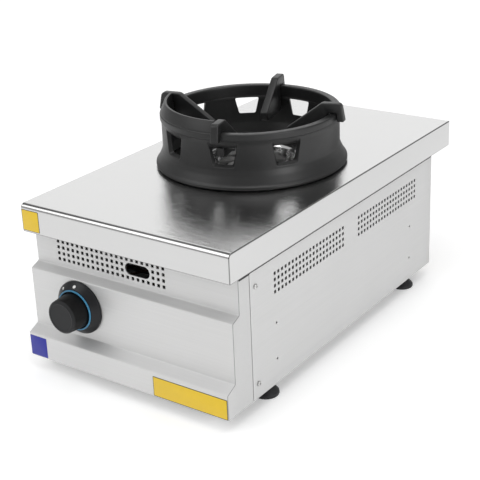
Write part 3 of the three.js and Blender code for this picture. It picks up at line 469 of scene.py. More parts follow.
def turned(radius, height, centre, basis=UP, sides=96, closed=False):
    """Profile carried round an axis: radius and height at each step, where a radius may change round
    the turn, and a radius of zero is one point on the axis. The outside runs up the axis."""
    radius = np.asarray(radius, float)
    radius = np.broadcast_to(radius if radius.ndim == 2 else radius[:, None], (len(height), sides))
    height = np.broadcast_to(np.reshape(height, (-1, 1)), radius.shape)
    points = centre + polar(radius, evenly(sides) * TAU, height).reshape(-1, 3) @ basis
    index = np.arange(len(points)).reshape(-1, sides)
    pole = (radius == 0).all(1)
    index[pole] = index[pole][:, :1]
    if closed:
        index, pole = np.vstack([index, index[:1]]), np.append(pole, pole[0])
    quads = quads_between(index[:-1], index[1:])
    whole = ~pole[:-1] & ~pole[1:]
    faces = [quads[whole].reshape(-1, 4)]
    faces.append(quads[pole[:-1]].reshape(-1, 4)[:, [0, 2, 3]])
    faces.append(quads[pole[1:]].reshape(-1, 4)[:, [0, 1, 2]])
    return points, [face for face in faces if len(face)]


def slab(outline, half, bevel, centre, basis, steps=4):
    """Flat plate: a closed outline, drawn in towards both faces along a quarter circle."""
    angle = np.linspace(0, math.pi / 2, steps + 1)
    draw_in = bevel * (1 - np.sin(angle))
    rise = half - bevel + bevel * np.cos(angle)
    levels = zip(np.append(-rise, rise[::-1]), np.append(draw_in, draw_in[::-1]))
    rings = [np.insert(offset(outline, drawn, closed=True), 2, level, axis=1) for level, drawn in levels]
    index = np.arange(len(rings) * len(outline)).reshape(-1, len(outline))
    quads = quads_between(index[:-1], index[1:]).reshape(-1, 4)
    return centre + np.concatenate(rings) @ basis, [quads, index[:1, ::-1], index[-1:]]


def placed(name, data):
    """A new object in the scene."""
    item = bpy.data.objects.new(name, data)
    bpy.context.scene.collection.objects.link(item)
    return item


def mesh_piece(name, part, finish, body, sharp=35, replaces=(), bevel=0):
    """Object from one or more closed shells. Every edge has to lie between exactly two faces."""
    points, faces = part
    edges = np.sort(edges_of(faces), axis=1)
    uses = np.unique(edges, axis=0, return_counts=True)[1]
    if (uses != 2).any():
        raise RuntimeError(f"{name} has {(uses != 2).sum()} edges that aren't between two faces")
    used = np.unique(np.concatenate([face.ravel() for face in faces]))
    places = np.zeros(len(points), int)
    places[used] = np.arange(len(used))
    mesh = bpy.data.meshes.new(name)
    mesh.from_pydata(points[used].tolist(), [], [row for face in faces for row in places[face].tolist()])
    mesh.materials.append(finish_of(finish))
    mesh.shade_smooth()
    piece = placed(name, mesh)
    if bevel:
        rounding = piece.modifiers.new("casting_edges", "BEVEL")
        rounding.width = bevel
        rounding.segments = 3
        rounding.limit_method = "ANGLE"
        rounding.angle_limit = math.radians(sharp)
        rounding.use_clamp_overlap = False
        rounding.harden_normals = True
    else:
        mesh.set_sharp_from_angle(angle=math.radians(sharp))
    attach(piece, body)
    if replaces:
        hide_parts(*replaces)


def dress(finish, *nodes):
    """Gives nodes that keep their own solids a finish."""
    for node in nodes:
        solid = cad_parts[node]
        for material_slot in solid.material_slots:
            material_slot.material = finish_of(finish)
        if not solid.material_slots:
            solid.data.materials.append(finish_of(finish))


# ---------------------------------------------------------------- finishes
class Wire:
    """A node's output. Arithmetic on it adds Math nodes."""

    def __init__(self, finish, socket):
        self.finish = finish
        self.socket = socket

    def math(self, operation, *others):
        """This value and others through one Math node."""
        return self.finish.node("Math", {"operation": operation}, dict(enumerate((self, *others))))

    def __add__(self, other):
        return self.math("ADD", other)

    def __sub__(self, other):
        return self.math("SUBTRACT", other)

    def __rsub__(self, other):
        return self.finish.node("Math", {"operation": "SUBTRACT"}, {0: other, 1: self})

    def __mul__(self, other):
        return self.math("MULTIPLY", other)


class Finish:
    """A material in the making. Its patterns read Object coordinates."""

    def __init__(self, name, colour, roughness, metallic=0.0, coat=0.0, specular=0.5):
        self.material = bpy.data.materials.new(name)
        self.material.use_nodes = True
        self.tree = self.material.node_tree
        self.shader = self.tree.nodes["Principled BSDF"]
        self.shader.inputs["Base Color"].default_value = (*colour, 1)
        self.shader.inputs["Roughness"].default_value = roughness
        self.shader.inputs["Metallic"].default_value = metallic
        self.shader.inputs["Coat Weight"].default_value = coat
        self.shader.inputs["Specular IOR Level"].default_value = specular
        self.colour = tuple(colour)
        self.place = self.node("TexCoord", {}, {}, "Object")

    def node(self, kind, settings, inputs, output=0):
        """Adds a node: its settings first, then the values or wires of its sockets."""
        node = self.tree.nodes.new("ShaderNode" + kind)
        for key, value in settings.items():
            if key == "stops":
                for element, (position, shade) in zip(node.color_ramp.elements, value):
                    element.position = position
                    element.color = (shade, shade, shade, 1)
            else:
                setattr(node, key, value)
        for key, value in inputs.items():
            if isinstance(value, Wire):
                self.tree.links.new(value.socket, node.inputs[key])
            else:
                node.inputs[key].default_value = value
        return Wire(self, node.outputs[output])

    def noise(self, scale, detail=2.0, rough=0.5, vector=None):
        """Fractal noise: octaves at twice the scale and a share of the height of the one before."""
        inputs = {"Vector": vector or self.place, "Scale": scale, "Detail": detail, "Roughness": rough}
        return self.node("TexNoise", {}, inputs)

    def stretched(self, scale):
        """The place with each axis times its scale."""
        return self.node("Mapping", {}, {"Vector": self.place, "Scale": scale})

    def ramp(self, value, start, end):
        """Zero up to the start, one from the end, and straight between them."""
        return self.node("ValToRGB", {"stops": ((start, 0), (end, 1))}, {0: value})

    def mix(self, factor, first, second):
        """The first colour at zero and the second at one."""
        first, second = (shade if isinstance(shade, Wire) else (*shade, 1) for shade in (first, second))
        return self.node("Mix", {"data_type": "RGBA"}, {0: factor, 6: first, 7: second}, 2)

    def shades(self, factor, darker, lighter, shade=None):
        """The base colour between two multiples of itself, and a third of it where painted shade lies."""
        first = tuple(channel * darker for channel in self.colour)
        second = tuple(min(channel * lighter, 1) for channel in self.colour)
        colour = self.mix(factor, first, second)
        if shade:
            colour = self.mix(shade, colour, tuple(channel * 0.35 for channel in self.colour))
        self.set("Base Color", colour)

    def set(self, socket, value):
        """Wires a value to one of the shader's sockets."""
        self.tree.links.new(value.socket, self.shader.inputs[socket])

    def band(self, axis, start, end, soft):
        """One between two distances from the middle along an axis, with soft ends, and nothing outside."""
        place = self.node("SeparateXYZ", {}, {0: self.place}, axis).math("ABSOLUTE")
        rise = self.clamped((place - start) * (1 / soft) + 0.5)
        fall = self.clamped((end - place) * (1 / soft) + 0.5)
        return rise * fall

    def clamped(self, value):
        """The value kept between zero and one."""
        return self.node("Clamp", {}, {0: value})

    def surfaced(self, roughness, height, strength, distance):
        """The material, with its roughness and a bump of a strength whose height is times a distance."""
        inputs = {"Height": height, "Strength": strength, "Distance": distance}
        self.set("Roughness", roughness)
        self.set("Normal", self.node("Bump", {}, inputs))
        return self.material


def brushed(name, colour, roughness, metallic, along, grain, groove, edges=(), flat=None):
    """Stainless sheet: noise drawn out along the brushing, in colour, roughness and a very fine bump,
    and a slow clouding of the sheet. Edges are bands from the middle, each an axis and two distances,
    where painted shade leaves the metal darker, for shade and dark reflections along edges and seams.
    Flat is such a band that alone has the grooves."""
    finish = Finish(name, colour, roughness, metallic)
    fine_scale = [1400.0] * 3
    coarse_scale = [260.0] * 3
    fine_scale[along] = 14.0
    coarse_scale[along] = 3.0
    fine = finish.noise(1.0, 3, 0.6, finish.stretched(fine_scale))
    coarse = finish.noise(1.0, 2, 0.5, finish.stretched(coarse_scale))
    cloud = finish.noise(9.0, 2)
    lines = fine * 0.55 + coarse * 0.45
    spread = finish.ramp(lines, 0.3, 0.7)
    shade = None
    # Painted shade: every edge band darkens the base colour toward a third of it.
    for axis, start, end in edges:
        line = finish.band(axis, start, end, 0.2 * MM)
        shade = line if shade is None else shade.math("MAXIMUM", line)
    finish.shades(spread * 0.5 + cloud * 0.5, 1 - 0.14 * grain, 1 + 0.10 * grain, shade)
    gloss = lines * (0.16 * grain) + (roughness - 0.08 * grain) + cloud * 0.04
    height = fine * finish.band(*flat, 0.5 * MM) if flat else fine
    return finish.surfaced(gloss, height, 1.0, groove)


def dull_zinc(name, colour, roughness):
    """Zinc coating: faint crystals, and blotches where it has dulled."""
    finish = Finish(name, colour, roughness, metallic=1.0)
    crystals = finish.node("TexVoronoi", {}, {"Vector": finish.place, "Scale": 160.0}, "Color")
    blotches = finish.noise(22.0, 4)
    finish.shades(crystals * 0.4 + blotches * 0.6, 0.82, 1.12)
    return finish.surfaced(blotches * 0.22 + (roughness - 0.1), finish.noise(700.0, 2), 0.2, 0.00005)


def cast_iron(name, colour, roughness, grain):
    """Black satin coating over sand casting: a pitted grain, low swells, and a worn lighter tone."""
    finish = Finish(name, colour, roughness, specular=0.6)
    sand = finish.noise(900.0, 4, 0.65)
    swell = finish.noise(70.0, 3)
    finish.shades(finish.ramp(sand * 0.6 + swell * 0.4, 0.35, 0.65), 0.75, 1.45)
    return finish.surfaced(sand * 0.22 + (roughness - 0.11), sand + swell * 1.6, grain, 0.0004)


def moulded(name, colour, roughness, texture, coat=0.0):
    """Moulded plastic: a fine spark-eroded texture and a slight unevenness of its gloss."""
    finish = Finish(name, colour, roughness, coat=coat, specular=0.3)
    spark = finish.noise(1500.0, 2, 0.6)
    haze = finish.noise(40.0, 2)
    finish.shades(spark * 0.6 + haze * 0.4, 0.85, 1.2)
    return finish.surfaced(haze * 0.12 + (roughness - 0.06), spark, texture, 0.0001)


def lit_face_plastic(name, colour, roughness, face):
    """Moulded plastic with painted light: the face at the given height is painted lighter and the side round
    it darker, for the light that falls on the face.
    """
    finish = Finish(name, colour, roughness, specular=0.2)
    # Painted light: a band at the face's height lifts the colour, and the side outside it stays dark.
    painted_face_light = finish.band(1, face - 3 * MM, face + 3 * MM, 2 * MM)
    haze = finish.noise(40.0, 2)
    finish.shades(painted_face_light * 0.9 + haze * 0.1, 0.15, 1.3)
    spark = finish.noise(1500.0, 2, 0.6)
    return finish.surfaced(haze * 0.12 + (roughness - 0.06), spark, 0.3, 0.0001)


def machined(name, colour, roughness, wear, patchy=0.25):
    """Turned or drawn metal, dulled in patches by heat and handling."""
    finish = Finish(name, colour, roughness, metallic=1.0)
    patches = finish.noise(60.0, 4, 0.6)
    finish.shades(finish.ramp(patches, 0.35, 0.7), 1 - wear, 1.05)
    gloss = patches * patchy + (roughness - 0.4 * patchy)
    return finish.surfaced(gloss, finish.noise(500.0, 2), 0.05, 0.0001)


def film(name, colour):
    """Adhesive film: smooth, with a faint orange-peel surface and a soft clouding of its ink."""
    finish = Finish(name, colour, 0.38, specular=0.3)
    cloud = finish.noise(55.0, 3)
    finish.shades(cloud, 0.94, 1.05)
    return finish.surfaced(cloud * 0.15 + 0.3, finish.noise(420.0, 2), 0.12, 0.00008)


def finish_of(name):
    """A finish of this range by name, made the first time it is asked for."""
    if f"{name}_finish" in bpy.data.materials:
        return bpy.data.materials[f"{name}_finish"]
    colours = bpy.context.scene.wok_finish
    grain = colours.grain
    lip = low("worktop")[2]
    # Painted shade: dark lines along the worktop's side edges and the foot of its lips, and a band of painted
    # dark reflection on top of its front roll and bends.
    worktop_painted_shade = (
        (0, HALF_TOP - 1.5 * MM, HALF_TOP - 0.15 * MM),
        (2, lip, lip + 0.7 * MM),
        (2, TOP - 1.8 * MM, TOP - 0.25 * MM),
    )
    # Painted shade: a dark line along the fascia cheeks' outer edge, for the shadow in the seam beside the
    # side panels.
    cheek_painted_shade = ((0, HALF_BODY - 0.8 * MM, HALF_BODY - 0.06 * MM),)
    knob_face = -low("knob")[1]
    flat = (2, TOP - MM, TOP + MM)
    maker, *values = {
        "worktop_steel": (brushed, colours.worktop, 0.14, 1.0, 0, grain * 0.4, 0.00018, worktop_painted_shade, flat),
        "fascia_steel": (brushed, colours.panel, 0.48, 0.5, 0, grain, 0.00001, cheek_painted_shade),
        "side_steel": (brushed, colours.side, 0.42, 0.7, 1, grain, 0.00001),
        "galvanised": (dull_zinc, colours.galvanised, 0.5),
        "zinc": (machined, colours.zinc, 0.3, 0.12),
        "bowl_steel": (machined, colours.bowl, 0.10, 0.03, 0.06),
        "cast_iron": (cast_iron, colours.iron, 0.42, 0.25),
        "burner_iron": (cast_iron, colours.burner, 0.72, 0.6),
        "crown": (machined, colours.crown, 0.42, 0.3),
        "brass": (machined, colours.brass, 0.32, 0.25),
        "copper": (machined, colours.copper, 0.32, 0.3),
        "knob_plastic": (lit_face_plastic, colours.knob, 0.46, knob_face),
        "bezel_plastic": (moulded, colours.bezel, 0.36, 0.15),
        "dial_blue": (moulded, colours.dial, 0.34, 0.1, 0.2),
        "foot_plastic": (moulded, colours.foot, 0.5, 0.4),
        "seal": (moulded, colours.seal, 0.7, 0.3),
        "yellow_film": (film, colours.yellow),
        "blue_film": (film, colours.blue),
        "dark_film": (film, colours.foot),
        "white_mark": (film, colours.mark),
    }[name]
    return maker(f"{name}_finish", *values)


# ---------------------------------------------------------------- folded sheet
def run_at(line, depth, height):
    """Length along a line to its point nearest a depth and a height."""
    return lengths_of(line)[np.abs(line - [depth, height]).sum(1).argmin()]


def folded_sheet(line, half, edge, steps, sheet, columns, holes, corners=((), ())):
    """Closed shell of a sheet folded along a line of depth and height and carried across X. A quarter
    circle draws both ends in, and a flat face closes each one, round by further outer and inner corners
    where they are given. Holes lie in X and in the length along the line."""
    angle = np.linspace(0, math.pi / 2, steps)
    ends = half - edge + edge * np.sin(angle)
    crowding = np.arange(steps) * 0.02 * MM
    us = np.concatenate([-ends[::-1], [-half + edge + MM], columns, [half - edge - MM], ends])
    lengths = lengths_of(line)
    grid, faces = holed_grid(us, lengths, holes)
    on_grid = np.arange(len(grid)) < len(us) * len(lengths)
    column = np.abs(grid[:, :1] - us).argmin(1)

    def skin(inset, reach, draws):
        """The grid on the line drawn in by an inset, its end columns at reaches and draws of their own."""
        places, draw = us.copy(), np.zeros(len(us))
        places[:steps], places[-steps:] = -reach[::-1], reach
        draw[:steps], draw[-steps:] = draws[::-1], draws
        x = np.where(on_grid, places[column], grid[:, 0])
        draw = np.where(on_grid, draw[column], 0)
        plain = offset(line, -inset)
        slope = (offset(line, -inset - MM) - plain) / MM
        y, z, dy, dz = (np.interp(grid[:, 1], lengths, side) for side in (*plain.T, *slope.T))
        return np.column_stack([x, FRONT + y + draw * dy, TOP + z + draw * dz])

    def with_corners(points, right_corners):
        """A skin's points, then the further corners on the right and their mirror images."""
        right_corners = np.reshape(right_corners, (-1, 3))
        return np.vstack([points, right_corners, right_corners * (-1, 1, 1)])

    outer = skin(0, ends, edge * (1 - np.cos(angle)))
    inner = skin(sheet, half - sheet - crowding[::-1], crowding)
    extra, run = np.arange(len(corners[0])), np.arange(len(lengths))
    right = np.concatenate([len(outer) + extra, ((len(us) - 1) * len(lengths) + run)[::-1]])
    left = np.concatenate([run, len(outer) + len(extra) + extra[::-1]])
    faces = [*faces, right[None], left[None]]
    return shell(with_corners(outer, corners[0]), with_corners(inner, corners[1]), faces)


# ---------------------------------------------------------------- castings
def turned_shell(outer, inner, rows, angles, outer_holes, inner_holes, centre, scale):
    """Hollow casting: two profiles of radius and height at the same rows, carried round the axis, with
    holes through both that may differ in outline. Across, a hole's place is the angle times the scale."""

    def skin(profile, holes):
        """A profile's radius and height at each row of the grid, at a turn of the place across over scale."""
        grid, faces = holed_grid(angles * scale, rows, holes, wrap=True)
        turn = grid[:, 0] / scale
        radius, height = (np.interp(grid[:, 1], rows, profile[:, k]) for k in (0, 1))
        return centre + polar(radius, turn, height), faces

    (outside, faces), (inside, _) = skin(outer, outer_holes), skin(inner, inner_holes)
    return shell(outside, inside, faces)


def cast_profile(foot, rim, counts):
    """Foot line, straight band and rim line of a casting, each at equal steps of length."""
    foot_count, band_count, rim_count = counts
    band = resampled([foot[-1], rim[0]], band_count)[1:-1]
    return np.vstack([resampled(foot, foot_count), band, resampled(rim, rim_count)])


def cast_rows(start, end, step, counts):
    """Rows that stand for a profile: the band's are heights, and the others are a step apart."""
    foot_count, band_count, rim_count = counts
    foot = start - step * np.arange(foot_count - 1, -1, -1)
    band = np.linspace(start, end, band_count)[1:-1]
    return np.concatenate([foot, band, end + step * np.arange(rim_count)])


def turned_part(outline, starts, ends, steps, centre):
    """Closed outline of radius and height carried round the axis from one angle to another, each of
    its points with a start and an end of its own, and closed by a flat face at both ends."""
    share = np.linspace(0, 1, steps + 1)[:, None]
    turn = starts + (ends - starts) * share
    radius, height = np.broadcast_to(outline.T[:, None], (2, *turn.shape))
    points = centre + polar(radius, turn, height).reshape(-1, 3)
    index = np.arange(len(points)).reshape(turn.shape)
    quads = np.roll(quads_between(index[1:], index[:-1]), 1, axis=-1).reshape(-1, 4)
    return points, [quads, index[:1], index[-1:, ::-1]]


# ---------------------------------------------------------------- operators
class WOK_OT_worktop(bpy.types.Operator):
    """Worktop pan: rolled front edge, turned-down lips and a collared burner opening"""

    bl_idname = "wok.worktop"
    bl_label = "Worktop"

    def execute(self, context):
        cabinet = context.scene.wok_cabinet
        depth, lip = high("worktop")[1] - FRONT, TOP - low("worktop")[2]
        fold_steps = 6
        profile = rounded(
            [[0, -lip], [0, 0], [depth, 0], [depth, -lip]], [cabinet.roll, cabinet.bend], fold_steps
        )
        roll_end = fold_steps + 2
        axis = RING_AXIS[1] - FRONT
        cells = np.linspace(-1.25, 1.25, 9) * cabinet.opening
        flat = [[y, 0] for y in (cabinet.roll + MM, *(axis + cells), depth - cabinet.bend - MM)]
        front_flat = [[0, MM - lip], [0, -cabinet.roll - MM]]
        line = np.vstack([profile[:1], front_flat, profile[1:roll_end], flat, profile[roll_end:]])
        start, end = (run_at(line, axis + cell, 0) for cell in cells[[0, -1]])
        half_block = [cells[-1], (end - start) / 2]
        opening = hole([0, (start + end) / 2], half_block, evenly(4), disc(cabinet.opening))
        pan = folded_sheet(line, HALF_TOP, cabinet.edge, 5, cabinet.sheet, columns=cells, holes=[opening])
        collar_head = -cabinet.sheet - SEAT / 10
        collar_foot = -cabinet.sheet - cabinet.collar
        collar_radii = cabinet.opening + cabinet.sheet * np.array([0, 1, 1, 0])
        collar_heights = [collar_foot, collar_foot, collar_head, collar_head]
        collar = turned(collar_radii, collar_heights, [0, RING_AXIS[1], TOP], closed=True)
        mesh_piece("worktop_pan", joined(pan, collar), "worktop_steel", "cabinet", replaces=["worktop"])
        return {"FINISHED"}


class WOK_OT_fascia(bpy.types.Operator):
    """Front fascia: a stepped folded face with cheeks, screw tabs, vents and a lighting slot"""

    bl_idname = "wok.fascia"
    bl_label = "Fascia"

    def execute(self, context):
        cabinet = context.scene.wok_cabinet
        foot, head = BODY_FOOT - TOP, high("front_fascia")[2] - TOP
        corners = np.array(
            [
                [cabinet.lip + cabinet.bottom_flange, foot],
                [cabinet.lip, foot],
                [cabinet.lip, -cabinet.lip_start],
                [cabinet.panel, -cabinet.panel_end],
                [cabinet.panel, -cabinet.panel_start],
                [cabinet.strip, -cabinet.strip_end],
                [cabinet.strip, head],
                [cabinet.strip + cabinet.top_flange, head],
            ]
        )
        half_pitch = cabinet.pitch / 2
        first_x = cabinet.front_margin - HALF_BODY
        columns = first_x - half_pitch + cabinet.pitch * np.arange(cabinet.front_columns + 1)
        vent_rows = half_pitch - cabinet.front_vents - cabinet.pitch * np.arange(cabinet.rows, -1, -1)
        knob_rows = KNOB_AXIS[2] - TOP + cabinet.pitch * np.array([-1.5, 0, 1.5])
        on_strip = [[cabinet.strip, row] for row in vent_rows]
        on_panel = [[cabinet.panel, row] for row in knob_rows]
        folds = rounded(corners, cabinet.bend, steps=4)
        line = self.sorted_along(np.vstack([folds, on_strip, on_panel, self.supports(corners)]), corners)
        holes = [
            *self.vents(cabinet, line, first_x, vent_rows),
            self.shaft_hole(cabinet, line, columns, knob_rows[0]),
        ]
        seam = FRONT + cabinet.seam - SEAM_DRAW
        cheeks = [
            [[HALF_BODY - wall, seam, TOP + foot + wall], [HALF_BODY - wall, seam, TOP + head - wall]]
            for wall in (0, cabinet.sheet)
        ]
        bend_edge = 0.8 * MM
        face = folded_sheet(line, HALF_BODY, bend_edge, 4, cabinet.sheet, columns, holes, corners=cheeks)
        tab = self.tab(cabinet, foot)
        part = joined(face, tab, mirrored(tab))
        mesh_piece("fascia_panel", part, "fascia_steel", "cabinet", replaces=["front_fascia"])
        return {"FINISHED"}

    def supports(self, corners):
        """Points just outside each fold, so that the flats stay flat in shading."""
        step = 3 * MM * unit(np.diff(corners, axis=0))
        return np.concatenate([corners[:-1] + step, corners[1:] - step])

    def sorted_along(self, line, corners):
        """The line's points in order along the fold line, without repeats."""
        starts, runs = corners[:-1], np.diff(corners, axis=0)
        spans = np.linalg.norm(runs, axis=1)
        share = np.clip(((line[:, None] - starts) * runs).sum(-1) / spans**2, 0, 1)
        nearest = starts + share[..., None] * runs
        which = np.linalg.norm(line[:, None] - nearest, axis=-1).argmin(1)
        before = np.concatenate([[0], spans.cumsum()[:-1]])
        along = before[which] + share[np.arange(len(line)), which] * spans[which]
        order = along.argsort(kind="stable")
        keep = np.concatenate([[True], np.diff(along[order]) > 0.01 * MM])
        return line[order][keep]

    def vents(self, cabinet, line, first_x, rows):
        """Holes of the vent field and of the lighting slot that breaks it."""
        pitch = cabinet.pitch
        runs = [run_at(line, cabinet.strip, row) for row in rows]
        slot_x, slot_z = first_x + cabinet.slot_column * pitch, (rows[0] + rows[-1]) / 2
        slot_half = cabinet.slot_height / 2 - 0.1 * MM
        slot_reach = 2.5 * pitch
        slot = rounded_box(cabinet.slot_length / 2, slot_half, slot_half)
        vent = rounded_box(cabinet.hole / 2, cabinet.hole / 2, cabinet.hole_corner)
        holes = [hole([slot_x, runs[1] + pitch], [slot_reach, pitch], evenly(4), slot)]
        for x in first_x + pitch * np.arange(cabinet.front_columns):
            for row, run in zip(rows[:-1], runs):
                if abs(x - slot_x) > slot_reach or abs(row + pitch / 2 - slot_z) > pitch:
                    holes.append(hole([x, run + pitch / 2], pitch / 2, VENT_SHARES, vent))
        return holes

    def shaft_hole(self, cabinet, line, columns, lowest_row):
        """Hole for the tap's shaft, in a block of three pitches by three that the columns settle."""
        block = 3 * cabinet.pitch
        left = columns[np.abs(columns - KNOB_AXIS[0] + block / 2).argmin()]
        run = run_at(line, cabinet.panel, lowest_row)
        centre = np.array([KNOB_AXIS[0], run + block / 2])
        return (left, run), (left + block, run + block), centre, evenly(4), disc(cabinet.shaft)

    def tab(self, cabinet, foot):
        """Joggled tab behind the right side panel, where the screws go in."""
        outer = HALF_BODY - cabinet.sheet - SEAT
        front, back = FRONT + cabinet.seam - 6 * MM, FRONT + cabinet.seam + cabinet.tab
        inner = outer - cabinet.sheet
        line = [[inner, front], [inner, back], [outer, back], [outer, front]]
        heights = (TOP + foot + 10 * MM, TOP - cabinet.top_flange)
        foot_ring = np.arange(4)[None]
        sides = quads_between(foot_ring, foot_ring + 4)[0]
        points = np.vstack([np.insert(line, 2, height, axis=1) for height in heights])
        return points, [sides[:, ::-1], foot_ring, foot_ring[:, ::-1] + 4]


class WOK_OT_side_panels(bpy.types.Operator):
    """Side panels: flat sheets with two fields of square vents, four small round holes and two for screws"""

    bl_idname = "wok.side_panels"
    bl_label = "Side panels"

    def execute(self, context):
        cabinet = context.scene.wok_cabinet
        panel_low, panel_high = low("side_panel_right"), high("side_panel_right")
        front, back = panel_low[1] - FRONT + SEAM_DRAW, panel_high[1] - FRONT
        foot, head = panel_low[2] - TOP, panel_high[2] - TOP
        us, vs, holes = self.openings(cabinet, front, back, foot, head)
        grid, faces = holed_grid(us, vs, holes)
        edge = 0.6 * MM
        from_side = np.minimum(grid[:, 0] - front, back - grid[:, 0])
        from_end = np.minimum(grid[:, 1] - foot, head - grid[:, 1])
        near = np.clip(edge - np.minimum(from_side, from_end), 0, edge)
        rounding = edge - np.sqrt(edge**2 - near**2)
        place = grid + [FRONT, TOP]
        outer = np.column_stack([panel_high[0] - rounding, place])
        inner = np.column_stack([np.full(len(grid), panel_low[0]), place])
        right = shell(outer, inner, faces)
        for side, part in (("right", right), ("left", mirrored(right))):
            mesh_piece(f"side_sheet_{side}", part, "side_steel", "cabinet", replaces=[f"side_panel_{side}"])
        self.seals(cabinet)
        return {"FINISHED"}

    def openings(self, cabinet, front, back, foot, head):
        """Grid lines and holes of the right panel, in depths and in heights from the worktop's top."""
        pitch = cabinet.pitch
        body = BODY_BACK - FRONT
        field = (body - cabinet.side_rear - cabinet.side_front - cabinet.side_between) / 2
        gaps = math.floor(field / pitch + 1e-6)
        firsts = (cabinet.side_front, body - cabinet.side_rear - gaps * pitch)
        field_lines = [first - pitch / 2 + pitch * np.arange(gaps + 2) for first in firsts]
        rows = pitch / 2 - cabinet.side_vents - pitch * np.arange(cabinet.rows, -1, -1)
        half = 4 * MM
        margins = np.array([0, 0.2, 0.6]) * MM
        screw_lines = [cabinet.screw - half, cabinet.screw + half]
        us = np.concatenate([front + margins, back - margins, *field_lines, screw_lines])
        vs = [*(foot + margins), *(head - margins), *rows]
        # Each small hole takes the vent field's own lines across, so only its lines along Z are new.
        blocks = []
        for depth in (cabinet.fixing_front, body - cabinet.fixing_rear):
            left, right = us[us <= depth - half].max(), us[us >= depth + half].min()
            for height in (-cabinet.fixing_upper, -cabinet.fixing_lower):
                blocks.append((left, right, depth, height, cabinet.fixing_hole))
                vs += [height - half, height + half]
        lower_screw = foot + cabinet.screw_lower
        for height in (-cabinet.screw_upper, lower_screw):
            blocks.append((*screw_lines, cabinet.screw, height, cabinet.screw_hole))
        vs += [lower_screw - half, lower_screw + half]
        us, vs = (np.unique(np.round(values, 7)) for values in (us, vs))
        vs = vs[np.concatenate([[True], np.diff(vs) > 0.1 * MM])]
        vent = rounded_box(cabinet.hole / 2, cabinet.hole / 2, cabinet.hole_corner)
        holes = [
            hole([u + pitch / 2, v + pitch / 2], pitch / 2, VENT_SHARES, vent)
            for lines in field_lines
            for u in lines[:-1]
            for v in rows[:-1]
        ]
        for left, right, depth, height, radius in blocks:
            lower, upper = vs[vs <= height - half + 1e-6].max(), vs[vs >= height + half - 1e-6].min()
            centre = np.array([depth, height])
            holes.append(((left, lower), (right, upper), centre, evenly(6), disc(radius)))
        return us, vs, holes

    def seals(self, cabinet):
        """Thin dark strips between the worktop's lips and the cabinet's sides, lower over the cheeks: painted
        shadow that stands in for the shadow gap under the lips.
        """
        lip, gap = low("worktop")[2], HALF_TOP - cabinet.sheet - HALF_BODY
        front, seam, back = FRONT + cabinet.strip + MM, FRONT + cabinet.seam, BODY_BACK - 4 * MM
        cheek_foot, side_foot, head = lip - 4.4 * MM, lip - 3 * MM, lip + 6 * MM
        outline = [
            [front, cheek_foot],
            [seam - MM, cheek_foot],
            [seam, side_foot],
            [back, side_foot],
            [back, head],
            [front, head],
        ]
        middle = [HALF_BODY + gap / 2, 0, 0]
        strip = slab(np.array(outline), gap / 2 - 0.02 * MM, 0.3 * MM, middle, RIGHTWARD, steps=2)
        mesh_piece("lip_shadow_strips", joined(strip, mirrored(strip)), "seal", "cabinet", 40)


class WOK_OT_fasteners(bpy.types.Operator):
    """Side screws with cross recesses, and the levelling feet's pads"""

    bl_idname = "wok.fasteners"
    bl_label = "Screws and feet"

    def execute(self, context):
        for hand, side in (("right", 1), ("left", -1)):
            for place in ("upper", "lower"):
                self.screw(hand, side, place)
        for end in ("front", "rear"):
            for hand in ("left", "right"):
                self.foot(end, hand)
        return {"FINISHED"}

    def screw(self, hand, side, place):
        """Pan head on a plain shank, its dome part of a circle and its recess two crossed slots."""
        node = f"side_screw_{hand}_{place}"
        head, height, shank, recess = 4.2 * MM, 2.4 * MM, 2 * MM, 1.3 * MM
        brim, arm, reach = 0.5 * MM, 0.55 * MM, 2.2 * MM
        dome_draw, dome_turn, recess_draw = 0.86, 1.25, 0.75
        sides = 48
        rays = circle(sides)
        cross = np.maximum(rounded_box(reach, arm, arm / 2)(rays), rounded_box(arm, reach, arm / 2)(rays))
        outer_x = (high(node) if side > 0 else low(node))[0]
        length = high(node)[0] - low(node)[0] - height
        centre = [outer_x - side * height, *middle_of(node)[1:]]
        dome = np.linspace(0, 1, 6)
        dome_radii = head * np.sqrt(1 - (dome * dome_draw) ** 2)
        dome_heights = brim + (height - brim) * np.sin(dome * dome_turn) / math.sin(dome_turn)
        radii = np.concatenate([[0, shank, shank, head], dome_radii])
        rows = [*np.outer(radii, np.ones(sides)), cross, cross * recess_draw, np.zeros(sides)]
        heights = [-length, -length, 0, 0, *dome_heights, height, height - recess, height - recess]
        axis = np.array([[0, side, 0], [0, 0, 1], [side, 0, 0]])
        part = turned(np.array(rows), heights, centre, axis, sides)
        mesh_piece(f"screw_{hand}_{place}", part, "zinc", "cabinet", 30, [node])

    def foot(self, end, hand):
        """Dished pad with a neck round the stud, bored from above."""
        node = f"foot_pad_{end}_{hand}"
        centre, top = middle_of(node) * [1, 1, 0], high(node)[2]
        neck, stud, bore_end = 9 * MM, 5.3 * MM, 10 * MM
        pad = np.array([[0, 0], [20.2, 0], [21, 1.6], [20.6, 5.2], [15.4, 10.8], [9.4, 16.4]]) * MM
        outline = np.vstack([pad, [[neck, 18 * MM], [neck, top]]])
        outside = rounded(outline, np.array([0.6, 0.6, 1.5, 2.5, 2.5, 0.6]) * MM)
        mouth = [[neck, top - 0.5 * MM], [neck - 0.5 * MM, top]]
        bore = [[stud, top], [stud, bore_end], [0, bore_end]]
        part = turned(*np.vstack([outside[:-1], mouth, bore]).T, centre, sides=64)
        body = f"foot_{end}_{hand}"
        mesh_piece(f"levelling_foot_{end}_{hand}", part, "foot_plastic", body, replaces=[node])


